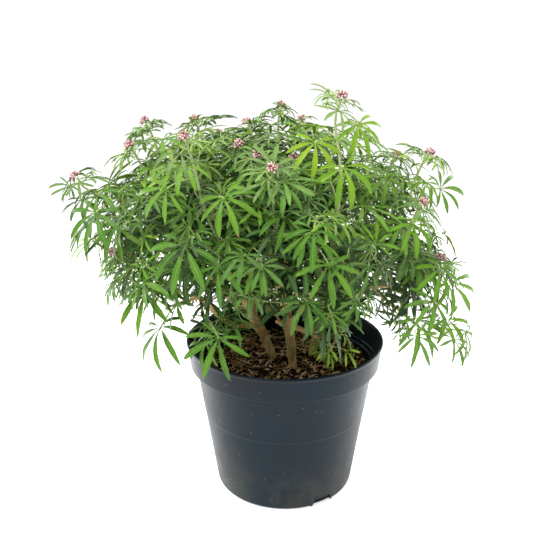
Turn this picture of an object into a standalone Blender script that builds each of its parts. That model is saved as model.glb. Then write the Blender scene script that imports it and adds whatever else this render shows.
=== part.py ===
"""A potted Mexican orange blossom with narrow palmate leaves and clusters of pink flower buds.

Metres, +Z up. The origin is the middle of the pot's flat underside. The front is -Y, and +X is the
right-hand side as seen from the front.
"""

import math
import random

import bmesh
import bpy
import numpy as np

# Nursery pot, the standard 5 litre size.
POT_HEIGHT = 0.178
RIM_RADIUS = 0.1125
LIP_HEIGHT = 0.0035
LIP_REACH = 0.0014
BAND_HEIGHT = 0.0285
BAND_FOOT_RADIUS = 0.1085
WALL_TOP_RADIUS = 0.102
BASE_RADIUS = 0.080
BASE_ROUNDING = 0.003
WALL = 0.0016
FLOOR = 0.0025
POT_SEGMENTS = 42
DRAIN_HOLES = 6
DRAIN_HOLE_RADIUS = 0.005
DRAIN_RING_RADIUS = 0.048
NOTCH_TURN = math.radians(-58)
NOTCH_WIDTH = 0.026
NOTCH_TOP_WIDTH = 0.021
NOTCH_HEIGHT = 0.0095
NOTCH_DEPTH = 0.018

# Clearance between two pieces that touch.
GAP = 0.0003

# Root ball.
SOIL_EDGE = 0.145
SOIL_MOUND = 0.004
SOIL_RELIEF = 0.0016
SOIL_RINGS = (0.020, 0.040, 0.060, 0.080)
SOIL_SEGMENTS = 28

# Woody clumps: where each leaves the soil, and where it forks.
BURIED_TO = 0.108
CLUMPS = {
    "left": ((-0.014, 0.004, 0.150), (-0.032, 0.010, 0.190)),
    "centre": ((0.009, -0.021, 0.150), (0.004, -0.018, 0.198)),
    "right": ((0.033, 0.015, 0.150), (0.042, 0.012, 0.192)),
}
TRUNK_RADII = (0.0046, 0.0062)
LIMB_RADII = (0.0038, 0.0029)
BRANCH_RADII = (0.0021, 0.0018)
SHOOT_RADII = (0.0017, 0.0010)
TRUNK_SIDES = 6
LIMB_SIDES = 5
STEM_SIDES = 4
LIMB_START_DEPTH = 0.005
WOODY_SHARE = 0.36

# Limbs: the clump that each grows from, and its points after the fork.
LIMBS = {
    "left_low": ("left", ((-0.057, -0.022, 0.199), (-0.088, -0.052, 0.242))),
    "left_side": ("left", ((-0.060, 0.004, 0.219), (-0.088, 0.000, 0.258))),
    "left_front": ("left", ((-0.044, -0.020, 0.226), (-0.056, -0.050, 0.268))),
    "left_top": ("left", ((-0.041, 0.016, 0.230), (-0.050, 0.026, 0.274))),
    "left_back": ("left", ((-0.050, 0.036, 0.217), (-0.072, 0.064, 0.252))),
    "centre_front": ("centre", ((-0.002, -0.036, 0.228), (-0.008, -0.060, 0.264))),
    "centre_top": ("centre", ((0.003, -0.014, 0.238), (-0.002, -0.012, 0.282))),
    "centre_right": ("centre", ((0.018, -0.038, 0.226), (0.034, -0.060, 0.262))),
    "centre_low": ("centre", ((0.013, -0.030, 0.200), (0.024, -0.038, 0.199))),
    "right_front": ("right", ((0.064, -0.008, 0.216), (0.090, -0.034, 0.248))),
    "right_side": ("right", ((0.063, 0.010, 0.226), (0.086, 0.006, 0.266))),
    "right_back": ("right", ((0.056, 0.034, 0.219), (0.076, 0.058, 0.252))),
    "right_top": ("right", ((0.040, 0.028, 0.232), (0.034, 0.048, 0.276))),
}

# Pruned stubs: their start on the wood and their cut end.
STUBS = {
    "left": (
        ((-0.040, 0.004, 0.200), (-0.050, -0.010, 0.213)),
        ((-0.034, 0.004, 0.196), (-0.036, -0.012, 0.211)),
    ),
    "centre": (((0.002, -0.022, 0.198), (-0.010, -0.031, 0.209)),),
    "right": (((0.042, 0.010, 0.194), (0.050, -0.006, 0.203)),),
}
STUB_RADII = (0.0028, 0.0024)

# Shoots: the limb, the tip, the points on the way there, and whether flower buds end it.
SHOOTS = {
    "low_left": ("left_low", (-0.141, -0.060, 0.255), (), False),
    "rim_left": ("left_low", (-0.075, -0.100, 0.236), (), False),
    "low_left_bud": ("left_low", (-0.174, -0.060, 0.294), (), True),
    "far_left": ("left_side", (-0.210, -0.045, 0.369), ((-0.149, -0.030, 0.308), (-0.188, -0.045, 0.352)), True),
    "left_two": ("left_side", (-0.157, -0.030, 0.397), (), True),
    "upper_left": ("left_side", (-0.148, 0.010, 0.417), (), True),
    "front_left": ("left_front", (-0.091, -0.115, 0.416), ((-0.062, -0.070, 0.300), (-0.077, -0.092, 0.345)), True),
    "crown_a": ("left_front", (-0.046, -0.050, 0.401), (), True),
    "top_left": ("left_top", (-0.101, 0.060, 0.414), (), True),
    "crown_b": ("left_top", (-0.040, 0.020, 0.415), (), True),
    "back_left_top": ("left_top", (-0.080, 0.125, 0.392), (), True),
    "left_back": ("left_back", (-0.160, 0.105, 0.335), (), False),
    "left_back_low": ("left_back", (-0.195, 0.060, 0.262), (), False),
    "back_left_low": ("left_back", (-0.075, 0.170, 0.280), (), False),
    "crown_d": ("centre_front", (-0.026, -0.085, 0.396), (), True),
    "crown_e": ("centre_front", (-0.013, -0.120, 0.389), (), True),
    "front_small": ("centre_front", (-0.026, -0.132, 0.318), (), False),
    "crown_c": ("centre_top", (-0.005, 0.035, 0.431), (), True),
    "crown_f": ("centre_top", (0.007, -0.050, 0.387), (), True),
    "tall_right": ("centre_right", (0.051, -0.075, 0.448), ((0.046, -0.074, 0.310), (0.052, -0.080, 0.375)), True),
    "front_mid": ("centre_right", (0.027, -0.130, 0.350), (), False),
    "front_low": ("centre_right", (0.017, -0.120, 0.274), (), False),
    "soil_shoot": ("centre_low", (0.050, -0.071, 0.197), ((0.036, -0.052, 0.196),), False),
    "right_c": ("right_front", (0.133, -0.070, 0.347), ((0.116, -0.052, 0.300),), True),
    "right_d": ("right_front", (0.158, -0.055, 0.286), (), True),
    "low_right": ("right_front", (0.169, -0.080, 0.221), (), False),
    "right_a": ("right_side", (0.117, 0.000, 0.383), (), True),
    "right_b": ("right_side", (0.145, -0.030, 0.390), ((0.124, -0.026, 0.335),), True),
    "right_back_low": ("right_back", (0.165, 0.060, 0.262), (), False),
    "right_back": ("right_back", (0.140, 0.085, 0.345), (), False),
    "back_right_low": ("right_back", (0.095, 0.150, 0.268), (), False),
    "right_back_top": ("right_top", (0.085, 0.085, 0.405), (), True),
    "back_top": ("right_top", (0.020, 0.105, 0.410), (), True),
    "back_mid": ("right_top", (0.025, 0.165, 0.335), (), False),
}

# Leaves that stand out at the front: the shoot, the middle of the leaf, the length of its longest
# leaflet, and how far that leaflet turns to the right from hanging straight down, in degrees.
FRONT_LEAVES = (
    ("far_left", (-0.183, -0.085, 0.343), 0.042, -10),
    ("front_left", (-0.093, -0.130, 0.322), 0.047, -8),
    ("front_left", (-0.057, -0.122, 0.365), 0.040, 30),
    ("front_left", (-0.107, -0.128, 0.375), 0.034, -40),
    ("tall_right", (0.051, -0.108, 0.390), 0.041, 17),
    ("tall_right", (0.068, -0.090, 0.422), 0.036, 25),
    ("tall_right", (0.033, -0.092, 0.418), 0.042, -26),
    ("front_mid", (0.023, -0.150, 0.342), 0.036, -6),
    ("front_mid", (0.038, -0.140, 0.307), 0.039, 0),
    ("front_small", (-0.022, -0.150, 0.309), 0.027, 10),
    ("front_small", (-0.035, -0.140, 0.283), 0.027, 0),
    ("front_low", (0.017, -0.130, 0.266), 0.032, -32),
    ("rim_left", (-0.066, -0.118, 0.226), 0.044, -18),
    ("low_right", (0.133, -0.090, 0.233), 0.041, 20),
    ("low_right", (0.119, -0.104, 0.222), 0.042, -8),
    ("right_c", (0.122, -0.090, 0.333), 0.034, -5),
    ("right_b", (0.138, -0.052, 0.368), 0.030, 8),
    ("right_b", (0.158, -0.036, 0.356), 0.033, 85),
    ("soil_shoot", (0.040, -0.088, 0.198), 0.024, -15),
    ("soil_shoot", (0.060, -0.082, 0.196), 0.022, 35),
)

# Pairs of leaves down each shoot, on shoots with and without buds: distance from the tip, leaflet
# length, leafstalk length, leaflets.
BUDDED_PAIRS = (
    (0.066, 0.047, 0.026, 5),
    (0.034, 0.036, 0.020, 5),
    (0.008, 0.019, 0.011, 3),
)
PLAIN_PAIRS = (
    (0.042, 0.046, 0.025, 5),
    (0.010, 0.034, 0.018, 5),
)
FRONT_LEAVES_FOR_A_PAIR = 2
LEAFSTALK_LEAN = math.radians(58)
LEAFLET_TURNS = {3: (-44, 0, 44), 5: (-78, -38, 0, 38, 78)}
LEAFLET_SHARES = {3: (0.8, 1.0, 0.8), 5: (0.82, 0.96, 1.0, 0.96, 0.82)}
LEAFLET_WIDTH_SHARE = 0.145
WIDEST_AT = 0.55
BLADE_DEPTH = 0.0013
LEAF_HEART_RADIUS = 0.0034
LEAFSTALK_RADIUS = 0.0009
LEAFSTALK_ROOT_RADIUS = 0.0004
NECK_BELOW = 0.45
NECK_LENGTH = 0.007
LEAFLET_RISE = math.radians(4)
LEAFLET_DROOP = (math.radians(14), math.radians(34))

# Room kept free round leaflets, leafstalks, stems and buds, and how often a leaf is tried.
LEAFLET_ROOM = (0.0033, 0.0027)
LEAF_CLEARANCE = 0.0006
LEAF_TRIES = 26
RIM_CLEARANCE = 0.001

BUD_CLUSTER_RADIUS = 0.0043
BUD_POINT = 0.0022

PLANT_CENTRE = np.array((-0.020, 0.0, 0.235))
UP = np.array((0.0, 0.0, 1.0))
RIGHT = np.array((1.0, 0.0, 0.0))
FRONT = np.array((0.0, -1.0, 0.0))

COLOURS = {
    "pot": ((0.012, 0.015, 0.019, 1.0), 0.42),
    "soil": ((0.060, 0.032, 0.018, 1.0), 0.95),
    "wood": ((0.300, 0.200, 0.100, 1.0), 0.85),
    "leaf": ((0.060, 0.190, 0.030, 1.0), 0.45),
    "bud": ((0.480, 0.200, 0.230, 1.0), 0.60),
}


# Vectors and paths

def unit(vector):
    return vector / max(float(np.linalg.norm(vector)), 1e-9)


def across(vector, axis):
    """The unit part of a vector that is square to a unit axis."""
    return unit(vector - axis * float(np.dot(vector, axis)))


def turned(vector, axis, angle):
    """A vector turned round a unit axis."""
    along = axis * float(np.dot(axis, vector)) * (1.0 - math.cos(angle))
    return vector * math.cos(angle) + np.cross(axis, vector) * math.sin(angle) + along


def evenly(path, count):
    """The path again, as evenly spaced points."""
    steps = np.linalg.norm(np.diff(path, axis=0), axis=1)
    along = np.concatenate(((0.0,), np.cumsum(steps)))
    marks = np.linspace(0.0, along[-1], count)
    return np.column_stack([np.interp(marks, along, path[:, k]) for k in range(3)])


def smooth(points, count):
    """Evenly spaced points on a smooth curve through a few points."""
    points = np.array(points, float)
    padded = np.vstack((2 * points[0] - points[1], points, 2 * points[-1] - points[-2]))
    fine = []
    for a, b, c, d in zip(padded, padded[1:], padded[2:], padded[3:]):
        for t in np.linspace(0.0, 1.0, 16, endpoint=False):
            bend = (2 * a - 5 * b + 4 * c - d) * t + (3 * b - a - 3 * c + d) * t * t
            fine.append(b + 0.5 * t * ((c - a) + bend))
    fine.append(points[-1])
    return evenly(np.array(fine), count)


def length_of(path):
    return float(np.linalg.norm(np.diff(path, axis=0), axis=1).sum())


def cut_path(path, start, end, count):
    """The stretch of a path between two distances from its start."""
    steps = np.linalg.norm(np.diff(path, axis=0), axis=1)
    along = np.concatenate(((0.0,), np.cumsum(steps)))
    marks = np.linspace(start, end, count)
    return np.column_stack([np.interp(marks, along, path[:, k]) for k in range(3)])


def point_from_tip(path, distance):
    """The point that far below a path's end, and the direction of growth there."""
    total = length_of(path)
    low, high = cut_path(path, total - distance - 0.002, total - distance + 0.002, 2)
    return (low + high) / 2, unit(high - low)


# Where things are taken

def gap_between(a0, a1, b0, b1):
    """The least distance between each segment a and each segment b."""
    d1 = (a1 - a0)[:, None, :]
    d2 = (b1 - b0)[None, :, :]
    r = a0[:, None, :] - b0[None, :, :]
    a = (d1 * d1).sum(2)
    e = np.maximum((d2 * d2).sum(2), 1e-12)
    b = (d1 * d2).sum(2)
    c = (d1 * r).sum(2)
    f = (d2 * r).sum(2)
    span = np.maximum(a * e - b * b, 1e-14)
    s = np.clip((b * f - c * e) / span, 0.0, 1.0)
    t = np.clip((b * s + f) / e, 0.0, 1.0)
    s = np.clip((b * t - c) / np.maximum(a, 1e-12), 0.0, 1.0)
    apart = r + d1 * s[..., None] - d2 * t[..., None]
    return np.sqrt((apart * apart).sum(2))


class Space:
    """The stretches of stem, leafstalk and leaflet that are already placed."""

    def __init__(self):
        self.starts = np.zeros((0, 3))
        self.ends = np.zeros((0, 3))
        self.radii = np.zeros(0)
        self.owners = []

    def add(self, owner, path, radii):
        self.starts = np.vstack((self.starts, path[:-1]))
        self.ends = np.vstack((self.ends, path[1:]))
        self.radii = np.concatenate((self.radii, radii))
        self.owners += [owner] * (len(path) - 1)

    def is_clear(self, starts, ends, radii, skip=()):
        """Whether some segments keep clear of all that is placed, except what some owners hold."""
        keep = np.array([owner not in skip for owner in self.owners])
        low = np.minimum(starts, ends).min(0) - 0.012
        high = np.maximum(starts, ends).max(0) + 0.012
        above = (np.maximum(self.starts, self.ends) > low).all(1)
        below = (np.minimum(self.starts, self.ends) < high).all(1)
        chosen = keep & above & below
        if not chosen.any():
            return True
        gaps = gap_between(starts, ends, self.starts[chosen], self.ends[chosen])
        return bool((gaps > radii[:, None] + self.radii[chosen][None, :] + LEAF_CLEARANCE).all())


def wall_radius(height):
    """The outer radius of the pot's tapered wall at a height."""
    return BASE_RADIUS + (WALL_TOP_RADIUS - BASE_RADIUS) * height / (POT_HEIGHT - BAND_HEIGHT)


def soil_height(x, y):
    """The height of the root ball's rough, mounded top."""
    reach = math.hypot(x, y) / wall_radius(SOIL_EDGE)
    waves = math.sin(x * 190 + 1.3) * math.cos(y * 160 - 0.4) + 0.6 * math.sin((x + y) * 330 + 2.0)
    return SOIL_EDGE + SOIL_MOUND * (1.0 - reach * reach) + SOIL_RELIEF * waves * (1.0 - reach ** 4)


def misses_pot(starts, ends, radii):
    """Whether some segments stay clear of the pot and the soil."""
    for start, end, radius in zip(starts, ends, radii):
        for share in (0.0, 0.25, 0.5, 0.75, 1.0):
            x, y, z = start + (end - start) * share
            out = math.hypot(x, y)
            room = radius + RIM_CLEARANCE
            if z < POT_HEIGHT + room and WALL_TOP_RADIUS - WALL - room < out < RIM_RADIUS + room:
                return False
            if out < WALL_TOP_RADIUS and z < soil_height(x, y) + room:
                return False
    return True


# Stems

def trunk_path(clump):
    foot, fork = (np.array(point) for point in CLUMPS[clump])
    root = np.array((foot[0], foot[1], BURIED_TO))
    return np.vstack((root, smooth((foot, foot * 0.45 + fork * 0.55 + (0, 0, 0.003), fork), 4)))


def limb_path(limb):
    clump, points = LIMBS[limb]
    fork = np.array(CLUMPS[clump][1])
    first = unit(np.array(points[0]) - fork)
    return smooth((fork - first * LIMB_START_DEPTH * 0.4, fork + first * LIMB_START_DEPTH, *points), 4)


def shoot_path(shoot, sway):
    """A shoot's way from its limb to its tip, with a sideways sway at the middle."""
    limb, tip, passing, _ = SHOOTS[shoot]
    start = limb_path(limb)[-1]
    growth = unit(start - limb_path(limb)[-2])
    tip = np.array(tip)
    outward = across(tip - PLANT_CENTRE, UP)
    below = tip - 0.020 * unit(0.85 * UP + 0.45 * outward + 0.25 * unit(tip - start))
    middle = start * 0.5 + below * 0.5 + outward * 0.006 - UP * 0.004 + sway
    way = passing if passing else (middle,)
    return smooth((start - growth * 0.002, start + growth * 0.004, *way, below, tip), 13)


def green_stem(path):
    """The green end of a shoot's path, past its old wood."""
    total = length_of(path)
    return cut_path(path, total * WOODY_SHARE + GAP, total, 6)


def growth_at_cut(path):
    """The direction of growth where old wood meets the green stem."""
    return point_from_tip(path, length_of(path) * (1.0 - WOODY_SHARE))[1]


def stem_radii(path, radii):
    return np.linspace(radii[0], radii[1], len(path) - 1)


def place_stems(space):
    """Place every stem clear of the others, and return each shoot's path."""
    for clump in CLUMPS:
        path = trunk_path(clump)
        space.add(f"wood_{clump}", path, stem_radii(path, TRUNK_RADII))
    for limb, (clump, _) in LIMBS.items():
        path = limb_path(limb)
        space.add(f"wood_{clump}", path, stem_radii(path, LIMB_RADII))
    paths = {}
    for shoot, (limb, tip, _, has_buds) in SHOOTS.items():
        draw = random.Random(f"stem {shoot}")
        owner = f"wood_{LIMBS[limb][0]}"
        path = shoot_path(shoot, np.zeros(3))
        for attempt in range(40):
            radii = stem_radii(path, BRANCH_RADII)
            clear_of_wood = space.is_clear(path[:-1], path[1:], radii, skip=(owner,))
            if clear_of_wood and space.is_clear(path[4:-1], path[5:], radii[4:]):
                break
            size = 0.002 + 0.0006 * attempt
            sway = np.array([draw.uniform(-size, size) for _ in range(3)])
            path = shoot_path(shoot, sway)
        paths[shoot] = path
        space.add(f"{owner}_{limb}", path, stem_radii(path, BRANCH_RADII))
        space.owners[-12:] = [owner] * 4 + [shoot] * 8
        if has_buds:
            middle = bud_middle(path)
            room = np.array((BUD_CLUSTER_RADIUS + BUD_POINT,))
            space.add(f"buds_{shoot}", np.array((middle, middle + UP * 0.001)), room)
    return paths


def bud_middle(path):
    """The middle of the bud cluster that stands on a shoot's tip."""
    return path[-1] + tip_growth(path) * (BUD_CLUSTER_RADIUS + GAP)


def tip_growth(path):
    stem = green_stem(path)
    return unit(stem[-1] - stem[-2])


# Leaves

def leaflet_line(leaf, number):
    """The base, widest point and tip of one leaflet's midrib."""
    turn = math.radians(LEAFLET_TURNS[leaf["leaflets"]][number])
    length = leaf["length"] * LEAFLET_SHARES[leaf["leaflets"]][number]
    normal = leaf["normal"]
    out = turned(leaf["axis"], normal, turn)
    droop = leaf["droop"]
    base = leaf["hub"] + out * LEAF_HEART_RADIUS
    rising = out * math.cos(LEAFLET_RISE) + normal * math.sin(LEAFLET_RISE)
    falling = out * math.cos(droop) - normal * math.sin(droop)
    widest = base + rising * (WIDEST_AT * length - LEAF_HEART_RADIUS)
    tip = widest + unit(falling - UP * 0.18) * ((1.0 - WIDEST_AT) * length)
    return base, widest, tip


def leaf_segments(leaf):
    """The segments that stand for a leaf, and the room that each needs."""
    starts = list(leaf["stalk"][:-1])
    ends = list(leaf["stalk"][1:])
    radii = [LEAFSTALK_RADIUS] * len(starts)
    small = min(leaf["length"] / 0.044, 1.0)
    for number in range(leaf["leaflets"]):
        base, widest, tip = leaflet_line(leaf, number)
        starts += [leaf["hub"], widest]
        ends += [widest, tip]
        radii += [LEAFLET_ROOM[0] * small, LEAFLET_ROOM[1] * small]
    return np.array(starts), np.array(ends), np.array(radii)


def leaf_fits(leaf, space):
    starts, ends, radii = leaf_segments(leaf)
    stalk = len(leaf["stalk"]) - 1
    if not misses_pot(starts, ends, radii):
        return False
    if not space.is_clear(starts[stalk:], ends[stalk:], radii[stalk:]):
        return False
    return space.is_clear(starts[:stalk], ends[:stalk], radii[:stalk], skip=(leaf["shoot"],))


def keep_leaf(leaf, space, leaves):
    starts, ends, radii = leaf_segments(leaf)
    for start, end, radius in zip(starts, ends, radii):
        space.add(leaf["shoot"], np.array((start, end)), np.array((radius,)))
    leaves.append(leaf)


def stalk_way(foot, hub, axis, normal):
    """A leafstalk's points: by way of a neck behind the leaf where it would not arrive from there."""
    if np.dot(unit(hub - foot), axis) >= NECK_BELOW:
        return np.array((foot, hub))
    return np.array((foot, hub - axis * NECK_LENGTH - normal * BLADE_DEPTH, hub))


def front_leaf(number, paths, attempt):
    """A leaf that is set by the place of its middle, facing the front."""
    shoot, hub, length, heading = FRONT_LEAVES[number]
    draw = random.Random(f"front {number} {attempt}")
    loose = 0.0007 * attempt
    hub = np.array(hub) + [draw.uniform(-loose, loose) for _ in range(3)]
    stem = evenly(green_stem(paths[shoot]), 25)
    foot = stem[max(int(np.argmin(np.linalg.norm(stem - hub, axis=1))) - 2, 2)]
    outward = across(hub - PLANT_CENTRE, UP)
    normal = unit(0.62 * FRONT + 0.50 * UP + 0.38 * outward)
    down = across(-UP, normal)
    heading = math.radians(heading + draw.uniform(-2, 2) * attempt)
    axis = turned(down, normal, heading)
    leaflets = 5 if length > 0.025 else 3
    return {"shoot": shoot, "stalk": stalk_way(foot, hub, axis, normal), "hub": hub, "axis": axis,
            "normal": normal, "length": length * (1.0 - 0.012 * attempt),
            "droop": draw.uniform(*LEAFLET_DROOP), "leaflets": leaflets}


def paired_leaf(shoot, pair, side, path, attempt):
    """One leaf of a pair on a shoot, on a stalk that leans out and up."""
    from_tip, length, stalk_length, leaflets = pairs_of(shoot)[pair]
    draw = random.Random(f"pair {shoot} {pair} {side} {attempt}")
    loose = min(attempt, 12)
    from_tip = from_tip + random.Random(f"node {shoot} {pair}").uniform(-0.004, 0.006)
    stem = green_stem(path)
    foot, growth = point_from_tip(stem, min(from_tip, length_of(stem) - 0.008))
    start = random.Random(f"turn {shoot}").uniform(0, math.tau)
    turn = start + pair * math.pi / 2 + side * math.pi + math.radians(draw.uniform(-5, 5) * loose)
    aside = turned(across(RIGHT, growth), growth, turn)
    lean = LEAFSTALK_LEAN + math.radians(draw.uniform(-3, 3) * loose)
    direction = growth * math.cos(lean) + aside * math.sin(lean)
    size = (1.0 - 0.013 * attempt) * draw.uniform(0.92, 1.08)
    hub = foot + unit(direction + 0.15 * UP) * stalk_length * draw.uniform(0.85, 1.25)
    outward = unit(hub - PLANT_CENTRE)
    noise = np.array([draw.uniform(-0.25, 0.25) for _ in range(3)])
    normal = unit(0.62 * UP + 0.55 * outward + 0.30 * aside + noise)
    axis = across(aside + 0.35 * outward - 0.25 * UP + 0.5 * noise, normal)
    return {"shoot": shoot, "stalk": stalk_way(foot, hub, axis, normal), "hub": hub, "axis": axis,
            "normal": normal, "length": length * size, "droop": draw.uniform(*LEAFLET_DROOP),
            "leaflets": leaflets}


def pairs_of(shoot):
    return BUDDED_PAIRS if SHOOTS[shoot][3] else PLAIN_PAIRS


def first_pair(shoot):
    """How many of a shoot's large pairs its front leaves stand for."""
    return sum(leaf[0] == shoot for leaf in FRONT_LEAVES) // FRONT_LEAVES_FOR_A_PAIR


def place_leaves(space, paths):
    """Place every leaf clear of what is there, the large ones of the front first."""
    leaves = []
    for number in range(len(FRONT_LEAVES)):
        for attempt in range(LEAF_TRIES):
            leaf = front_leaf(number, paths, attempt)
            if leaf_fits(leaf, space):
                keep_leaf(leaf, space, leaves)
                break
    for pair in range(len(BUDDED_PAIRS)):
        for shoot, path in paths.items():
            if pair < first_pair(shoot) or pair >= len(pairs_of(shoot)):
                continue
            for side in (0, 1):
                for attempt in range(LEAF_TRIES):
                    leaf = paired_leaf(shoot, pair, side, path, attempt)
                    if leaf_fits(leaf, space):
                        keep_leaf(leaf, space, leaves)
                        break
    return leaves


# Meshes

def new_object(name, build, colour):
    """An object with outward faces from a function that fills a bmesh."""
    bm = bmesh.new()
    build(bm)
    bmesh.ops.recalc_face_normals(bm, faces=bm.faces)
    if bm.calc_volume(signed=True) < 0:
        bmesh.ops.reverse_faces(bm, faces=bm.faces)
    mesh = bpy.data.meshes.new(name)
    bm.to_mesh(mesh)
    bm.free()
    obj = bpy.data.objects.new(name, mesh)
    bpy.context.collection.objects.link(obj)
    obj.data.materials.append(material(name, colour))
    return obj


def material(name, colour):
    rgba, roughness = COLOURS[colour]
    made = bpy.data.materials.new(f"{name}_material")
    made.use_nodes = True
    shader = made.node_tree.nodes["Principled BSDF"]
    shader.inputs["Base Color"].default_value = rgba
    shader.inputs["Roughness"].default_value = roughness
    shader.inputs["Metallic"].default_value = 0.0
    return made


def shade_smooth(obj, angle):
    obj.data.shade_smooth()
    obj.data.set_sharp_from_angle(angle=math.radians(angle))


def add_tube(bm, path, radii, sides, grow=0.0, ends=(None, None)):
    """A closed tapered tube with flat sides along a path, its ends square to given directions."""
    count = len(path)
    rings = []
    side = across(RIGHT + 0.3 * FRONT, unit(path[1] - path[0]))
    for k, point in enumerate(path):
        growth = unit(path[min(k + 1, count - 1)] - path[max(k - 1, 0)])
        if k == 0 and ends[0] is not None:
            growth = ends[0]
        if k == count - 1 and ends[1] is not None:
            growth = ends[1]
        side = across(side, growth)
        radius = radii[0] + (radii[1] - radii[0]) * k / (count - 1) + grow
        corners = [point + turned(side, growth, math.tau * j / sides) * radius for j in range(sides)]
        rings.append([bm.verts.new(corner) for corner in corners])
    for low, high in zip(rings, rings[1:]):
        for j in range(sides):
            k = (j + 1) % sides
            bm.faces.new((low[j], low[k], high[k], high[j]))
    bm.faces.new(rings[0][::-1])
    bm.faces.new(rings[-1])


def add_leaf(bm, leaf):
    """One closed leaf: leaflets cut to the heart of the leaf, on a three-sided stalk."""
    count = leaf["leaflets"]
    hub, normal = leaf["hub"], leaf["normal"]
    top = bm.verts.new(hub + normal * BLADE_DEPTH * 0.3)
    keel = bm.verts.new(hub - normal * BLADE_DEPTH)
    turns = LEAFLET_TURNS[count]
    notches = []
    for turn in (None, *[(a + b) / 2 for a, b in zip(turns, turns[1:])], None):
        if turn is not None:
            out = turned(leaf["axis"], normal, math.radians(turn))
            notches.append(bm.verts.new(hub + out * LEAF_HEART_RADIUS * 0.9))
            continue
        sign = 1.0 if notches else -1.0
        out = turned(leaf["axis"], normal, sign * math.radians(128))
        notches.append(bm.verts.new(hub + out * LEAF_HEART_RADIUS * 0.6))
    for number in range(count):
        base, widest, tip = leaflet_line(leaf, number)
        half = leaf["length"] * LEAFLET_SHARES[count][number] * LEAFLET_WIDTH_SHARE / 2
        aside = unit(np.cross(normal, widest - base))
        right, left = (bm.verts.new(widest - aside * half), bm.verts.new(widest + aside * half))
        rib = bm.verts.new(widest - normal * BLADE_DEPTH)
        point = bm.verts.new(tip)
        near, far = notches[number], notches[number + 1]
        bm.faces.new((top, near, far))
        bm.faces.new((near, right, far))
        bm.faces.new((far, right, left))
        bm.faces.new((right, point, left))
        bm.faces.new((keel, rib, near))
        bm.faces.new((keel, far, rib))
        bm.faces.new((near, rib, right))
        bm.faces.new((far, left, rib))
        bm.faces.new((right, rib, point))
        bm.faces.new((left, point, rib))
    bm.faces.new((top, notches[-1], notches[0]))
    add_leafstalk(bm, leaf, (notches[0], notches[-1], keel))


def add_leafstalk(bm, leaf, ring):
    """A three-sided stalk from the heart of the leaf down into the stem."""
    stalk = leaf["stalk"]
    stations = [(stalk[0], unit(stalk[1] - stalk[0]), LEAFSTALK_ROOT_RADIUS)]
    if len(stalk) == 3:
        turn = unit(leaf["axis"] + unit(stalk[1] - stalk[0]))
        stations = [(stalk[1], turn, LEAFSTALK_RADIUS)] + stations
    side = np.array(ring[1].co - ring[0].co)
    drop = np.array(ring[2].co - ring[0].co)
    hand = math.copysign(1.0, float(np.dot(np.cross(side, drop), stations[0][1])))
    for point, direction, radius in stations:
        side = across(side, direction)
        depth = np.cross(side, direction) * -hand
        upper = point - depth * radius * 0.4
        corners = (upper - side * radius, upper + side * radius, point + depth * radius)
        root = [bm.verts.new(corner) for corner in corners]
        for j in range(3):
            k = (j + 1) % 3
            bm.faces.new((ring[j], ring[k], root[k], root[j]))
        ring = root
    bm.faces.new(ring)


def join(name, builders, colour, solver):
    """One closed body from several closed ones that reach into each other."""
    group = bpy.data.collections.new(f"{name}_parts")
    bpy.context.scene.collection.children.link(group)
    body = new_object(name, builders[0], colour)
    for number, build in enumerate(builders[1:]):
        piece = new_object(f"{name}_{number}", build, colour)
        bpy.context.collection.objects.unlink(piece)
        group.objects.link(piece)
    union = body.modifiers.new("join", "BOOLEAN")
    union.operation = "UNION"
    union.operand_type = "COLLECTION"
    union.collection = group
    union.solver = solver
    apply_modifiers(body)
    for piece in list(group.objects):
        bpy.data.objects.remove(piece)
    bpy.data.collections.remove(group)
    return body


def combine(body, other, operation):
    """Join, cut or trim a body with another object, which is then removed."""
    change = body.modifiers.new("combine", "BOOLEAN")
    change.operation = operation
    change.solver = "EXACT"
    change.object = other
    apply_modifiers(body)
    bpy.data.objects.remove(other)


def apply_modifiers(obj):
    """Replace the mesh by its evaluated self, keeping the object's one material."""
    shown = obj.evaluated_get(bpy.context.evaluated_depsgraph_get())
    mesh = bpy.data.meshes.new_from_object(shown)
    made = obj.data.materials[0]
    obj.modifiers.clear()
    obj.data = mesh
    mesh.materials.clear()
    mesh.materials.append(made)


# Pot and soil

def add_turned(bm, profile, segments):
    """A solid turned from a profile of (radius, height), which starts and ends on the axis."""
    first = bm.verts.new((0.0, 0.0, profile[0][1]))
    last = bm.verts.new((0.0, 0.0, profile[-1][1]))
    rings = []
    for radius, height in profile[1:-1]:
        turns = [math.tau * j / segments for j in range(segments)]
        rings.append([bm.verts.new((radius * math.cos(t), radius * math.sin(t), height)) for t in turns])
    for j in range(segments):
        k = (j + 1) % segments
        bm.faces.new((first, rings[0][j], rings[0][k]))
        bm.faces.new((last, rings[-1][k], rings[-1][j]))
        for low, high in zip(rings, rings[1:]):
            bm.faces.new((low[j], high[j], high[k], low[k]))


def outer_profile(inset):
    """The pot's outside, from the middle of its underside up to its rim, moved in by an inset."""
    band_foot = POT_HEIGHT - BAND_HEIGHT
    lip_foot = POT_HEIGHT - LIP_HEIGHT
    points = [
        (0.0, inset),
        (BASE_RADIUS - BASE_ROUNDING * 0.7, inset),
        (wall_radius(BASE_ROUNDING) - inset, BASE_ROUNDING),
        (WALL_TOP_RADIUS - inset, band_foot - WALL * 0.6),
        (BAND_FOOT_RADIUS - inset, band_foot),
        (RIM_RADIUS - LIP_REACH - inset, lip_foot - LIP_REACH * 0.5),
        (RIM_RADIUS - inset, lip_foot + LIP_REACH * 0.5),
        (RIM_RADIUS - inset, POT_HEIGHT),
    ]
    return points


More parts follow.
